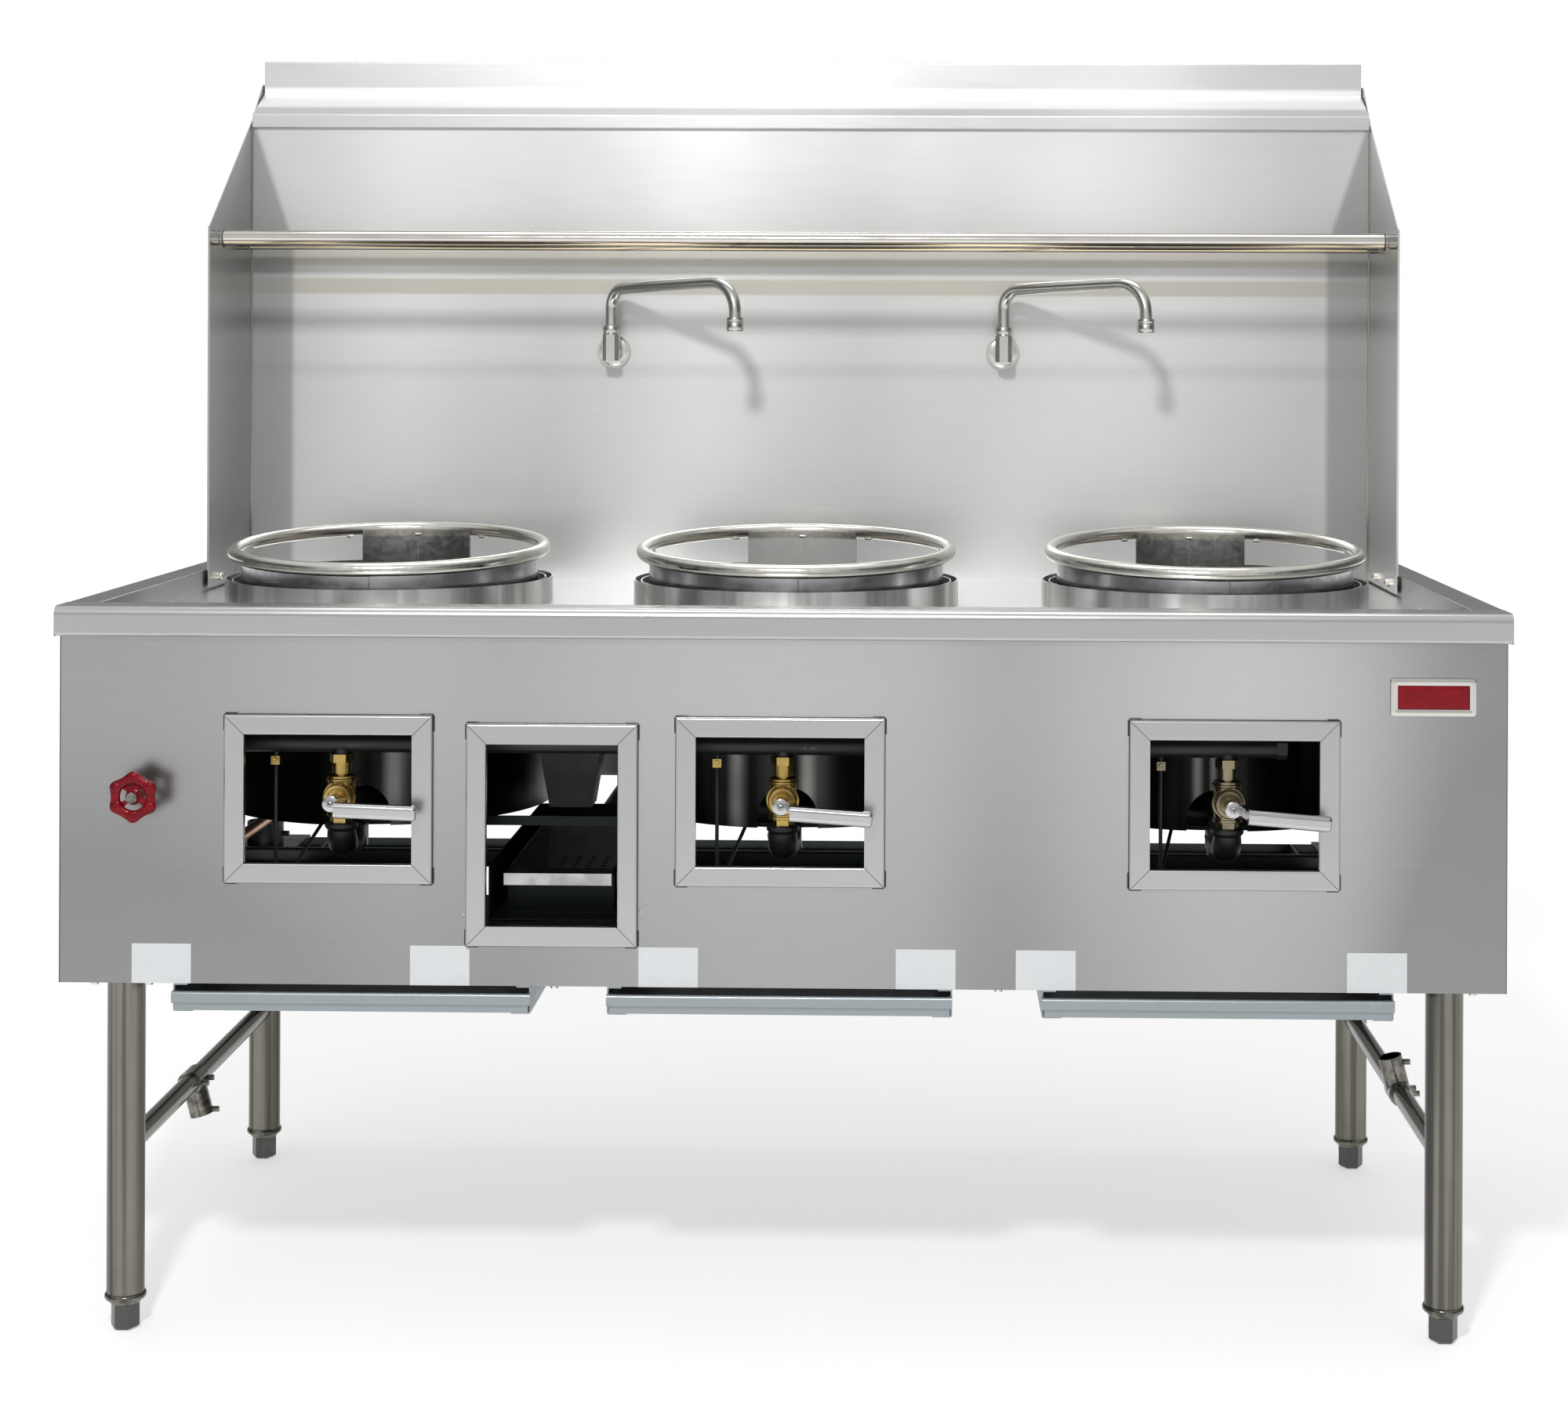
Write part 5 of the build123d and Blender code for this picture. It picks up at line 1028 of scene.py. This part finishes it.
# rack: dark joint rings near both ends of the front tube
rackJointLook = {"x": 0.8505, "tube": 0.0127, "proud": 0.0003, "sunk": 0.001, "half": 0.0009}
tube, half = rackJointLook["tube"], rackJointLook["half"]
inner, outer = tube - rackJointLook["sunk"], tube + rackJointLook["proud"]
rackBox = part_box("pot_rack")
place = (rackBox[0][1] + tube, rackBox[1][2] - tube)
profile = ((inner, -half), (outer, -half), (outer, half), (inner, half))
rackRings = [turned(profile, (sign * rackJointLook["x"], *place), (1, 0, 0), 40) for sign in (-1, 1)]
piece("rackJoints", rackRings, blackPipe, "range_body")

# seams where the wings meet the back
seamLook = {"x": 0.8672, "z": (0.916, 1.608), "radius": 0.0011, "ahead": 0.0012}
seams = []
for sign in (-1, 1):
    ends = [(sign * seamLook["x"], backY - seamLook["ahead"], z) for z in seamLook["z"]]
    seams.append(carried(circle(seamLook["radius"], 10), straight(*ends, 12), (0, 1, 0)))
piece("wingSeams", seams, rackTube, "range_body")

# bolts inside the wings and beside the drain window's trim
boltLook = {
    "wings": ((1, 0.049), (1, 0.151), (-1, 0.049)),  # side, distance behind the front edge
    "wingRise": 0.017,
    "wingGap": 0.005,
    "wingHead": (0.0052, 0.0045),
    "drain": ((-0.1105, -0.1), (0.1115, -0.095)),
    "drainHead": (0.0016, 0.0018),
}


def dome(centre, axis, radius, height, steps=24):
    # button head: radius cos a by height (1/4 + 3/4 sin a), turned, on a thin washer a quarter wider
    angle = np.radians(np.linspace(90, 0, 8))
    profile = [(radius * math.cos(a), height * (0.25 + 0.75 * math.sin(a))) for a in angle]
    profile += [(radius * 1.25, height * 0.22), (radius * 1.25, 0.0), (0.0, 0.0)]
    return turned(profile, centre, axis, steps)


boltShells = []
wingLow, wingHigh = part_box("left_wing")
wingInner = abs(wingHigh[0]) - boltLook["wingGap"]
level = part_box("deck_pan")[1][2] + boltLook["wingRise"]
for sign, back in boltLook["wings"]:
    boltShells.append(dome((sign * wingInner, wingLow[1] + back, level), (-sign, 0, 0), *boltLook["wingHead"]))
for across, rise in boltLook["drain"]:
    boltShells.append(dome((drainX + across, panelY, drainZ + rise), (0, -1, 0), *boltLook["drainHead"], 16))
piece("smallBolts", boltShells, rackTube, "range_body")
print("frame fittings made")

# studio: a pale floor that fades to white away from the range, a soft sky and two softboxes
studioLook = {
    "floorHalf": 20,
    "floorZ": -0.001,
    "floorTones": ((0.56, 0.56, 0.56), (0.6, 0.6, 0.6)),
    "floorGlow": ((0.54, 0.54, 0.54), (1.0, 1.0, 1.0)),
    "fade": (1.6, 4.2),
    "front": 0.64,
    "side": 0.1,
    "top": 0.75,
    "back": 0.3,
    "sideFrom": (0.4, 0.85),
    "backFrom": (-0.2, 0.4),
    "topFrom": (0.35, 0.8),
    "keyLight": ((-0.4, -3.7, 3.4), (0, 0.2, 1.2), 0.32, 0.32, 120),  # place, target, width, height, watts
    "topLight": ((0, 0.2, 4.0), (0, 0.1, 0.9), 2.6, 1.4, 30),
}
floorFinish = Finish("floorFinish", Roughness=0.7, Emission_Strength=1.0)
away = floorFinish.node("VectorMath", {0: floorFinish.place}, "Value", operation="LENGTH")
haze = away.rise(*studioLook["fade"])
grain = floorFinish.noise(3, 2.0)
pale = floorFinish.mix(*studioLook["floorTones"], grain)
floorFinish.feed(Base_Color=floorFinish.mix(pale, (0.0, 0.0, 0.0), haze))
floorFinish.feed(Emission_Color=floorFinish.mix(*studioLook["floorGlow"], haze))
half, level = studioLook["floorHalf"], studioLook["floorZ"]
floorMesh = bpy.data.meshes.new("floor")
floorMesh.from_pydata([(*corner, level) for corner in (corners * half).tolist()], [], [(0, 1, 2, 3)])
floorMesh.materials.append(floorFinish.material)
floor = placed("floor", floorMesh)

world = bpy.data.worlds.new("softStudio")
bpy.context.scene.world = world
sky = Shading(world)
direction = sky.node("TexCoord", {}, "Generated")
across, deep, high = (sky.node("SeparateXYZ", {0: direction}, i) for i in range(3))
# brightness goes from front to back, then to the side's, then to the top's
glow = studioLook["front"]
for name, line in (("back", deep), ("side", abs(across)), ("top", high)):
    share = line.rise(*studioLook[name + "From"])
    glow = sky.node("Mix", {0: share, 2: glow, 3: studioLook[name]}, data_type="FLOAT")
soft = sky.node("Background", {"Color": (1, 1, 1, 1), "Strength": glow})
plain = sky.node("Background", {"Color": (1, 1, 1, 1), "Strength": 1.0})
seen = sky.node("LightPath", {}, "Is Camera Ray")
both = sky.node("MixShader", {0: seen, 1: soft, 2: plain})
sky.node("OutputWorld", {0: both})


def softbox(name, place, target, width, height, power):
    # a rectangular lamp at the place, turned to face the target
    lamp = bpy.data.lights.new(name, "AREA")
    lamp.shape, lamp.size, lamp.size_y, lamp.energy = "RECTANGLE", width, height, power
    box = placed(name, lamp)
    box.location = place
    box.rotation_euler = (Vector(target) - Vector(place)).to_track_quat("-Z", "Y").to_euler()


softbox("keyLight", *studioLook["keyLight"])
softbox("topLight", *studioLook["topLight"])

# camera at the photograph's angle; its lens is worked out for a picture of 2000 by 1794
cameraLook = {
    "place": (0.17146, -3.73026, 1.26403),
    "leftTurn": 0.0170488,
    "roll": -0.0041215,
    "picture": (2000, 1794),
    "focalPixels": 3349.3,
    "centre": (1114.5, 449.8),
    "sensor": 36,
    "farthest": 60,
}
pictureWidth, pictureHeight = cameraLook["picture"]
centreX, centreY = cameraLook["centre"]
lens = bpy.data.cameras.new("photoCamera")
lens.sensor_fit, lens.sensor_width = "HORIZONTAL", cameraLook["sensor"]
lens.lens = cameraLook["focalPixels"] / pictureWidth * cameraLook["sensor"]
lens.shift_x = (pictureWidth / 2 - centreX) / pictureWidth
lens.shift_y = (centreY - pictureHeight / 2) / pictureWidth
lens.clip_end = cameraLook["farthest"]
camera = placed("photoCamera", lens)
camera.location = cameraLook["place"]
camera.rotation_euler = (math.pi / 2, cameraLook["roll"], cameraLook["leftTurn"])
bpy.context.scene.camera = camera
bpy.context.scene.view_settings.view_transform = "Standard"
print("camera and light set")
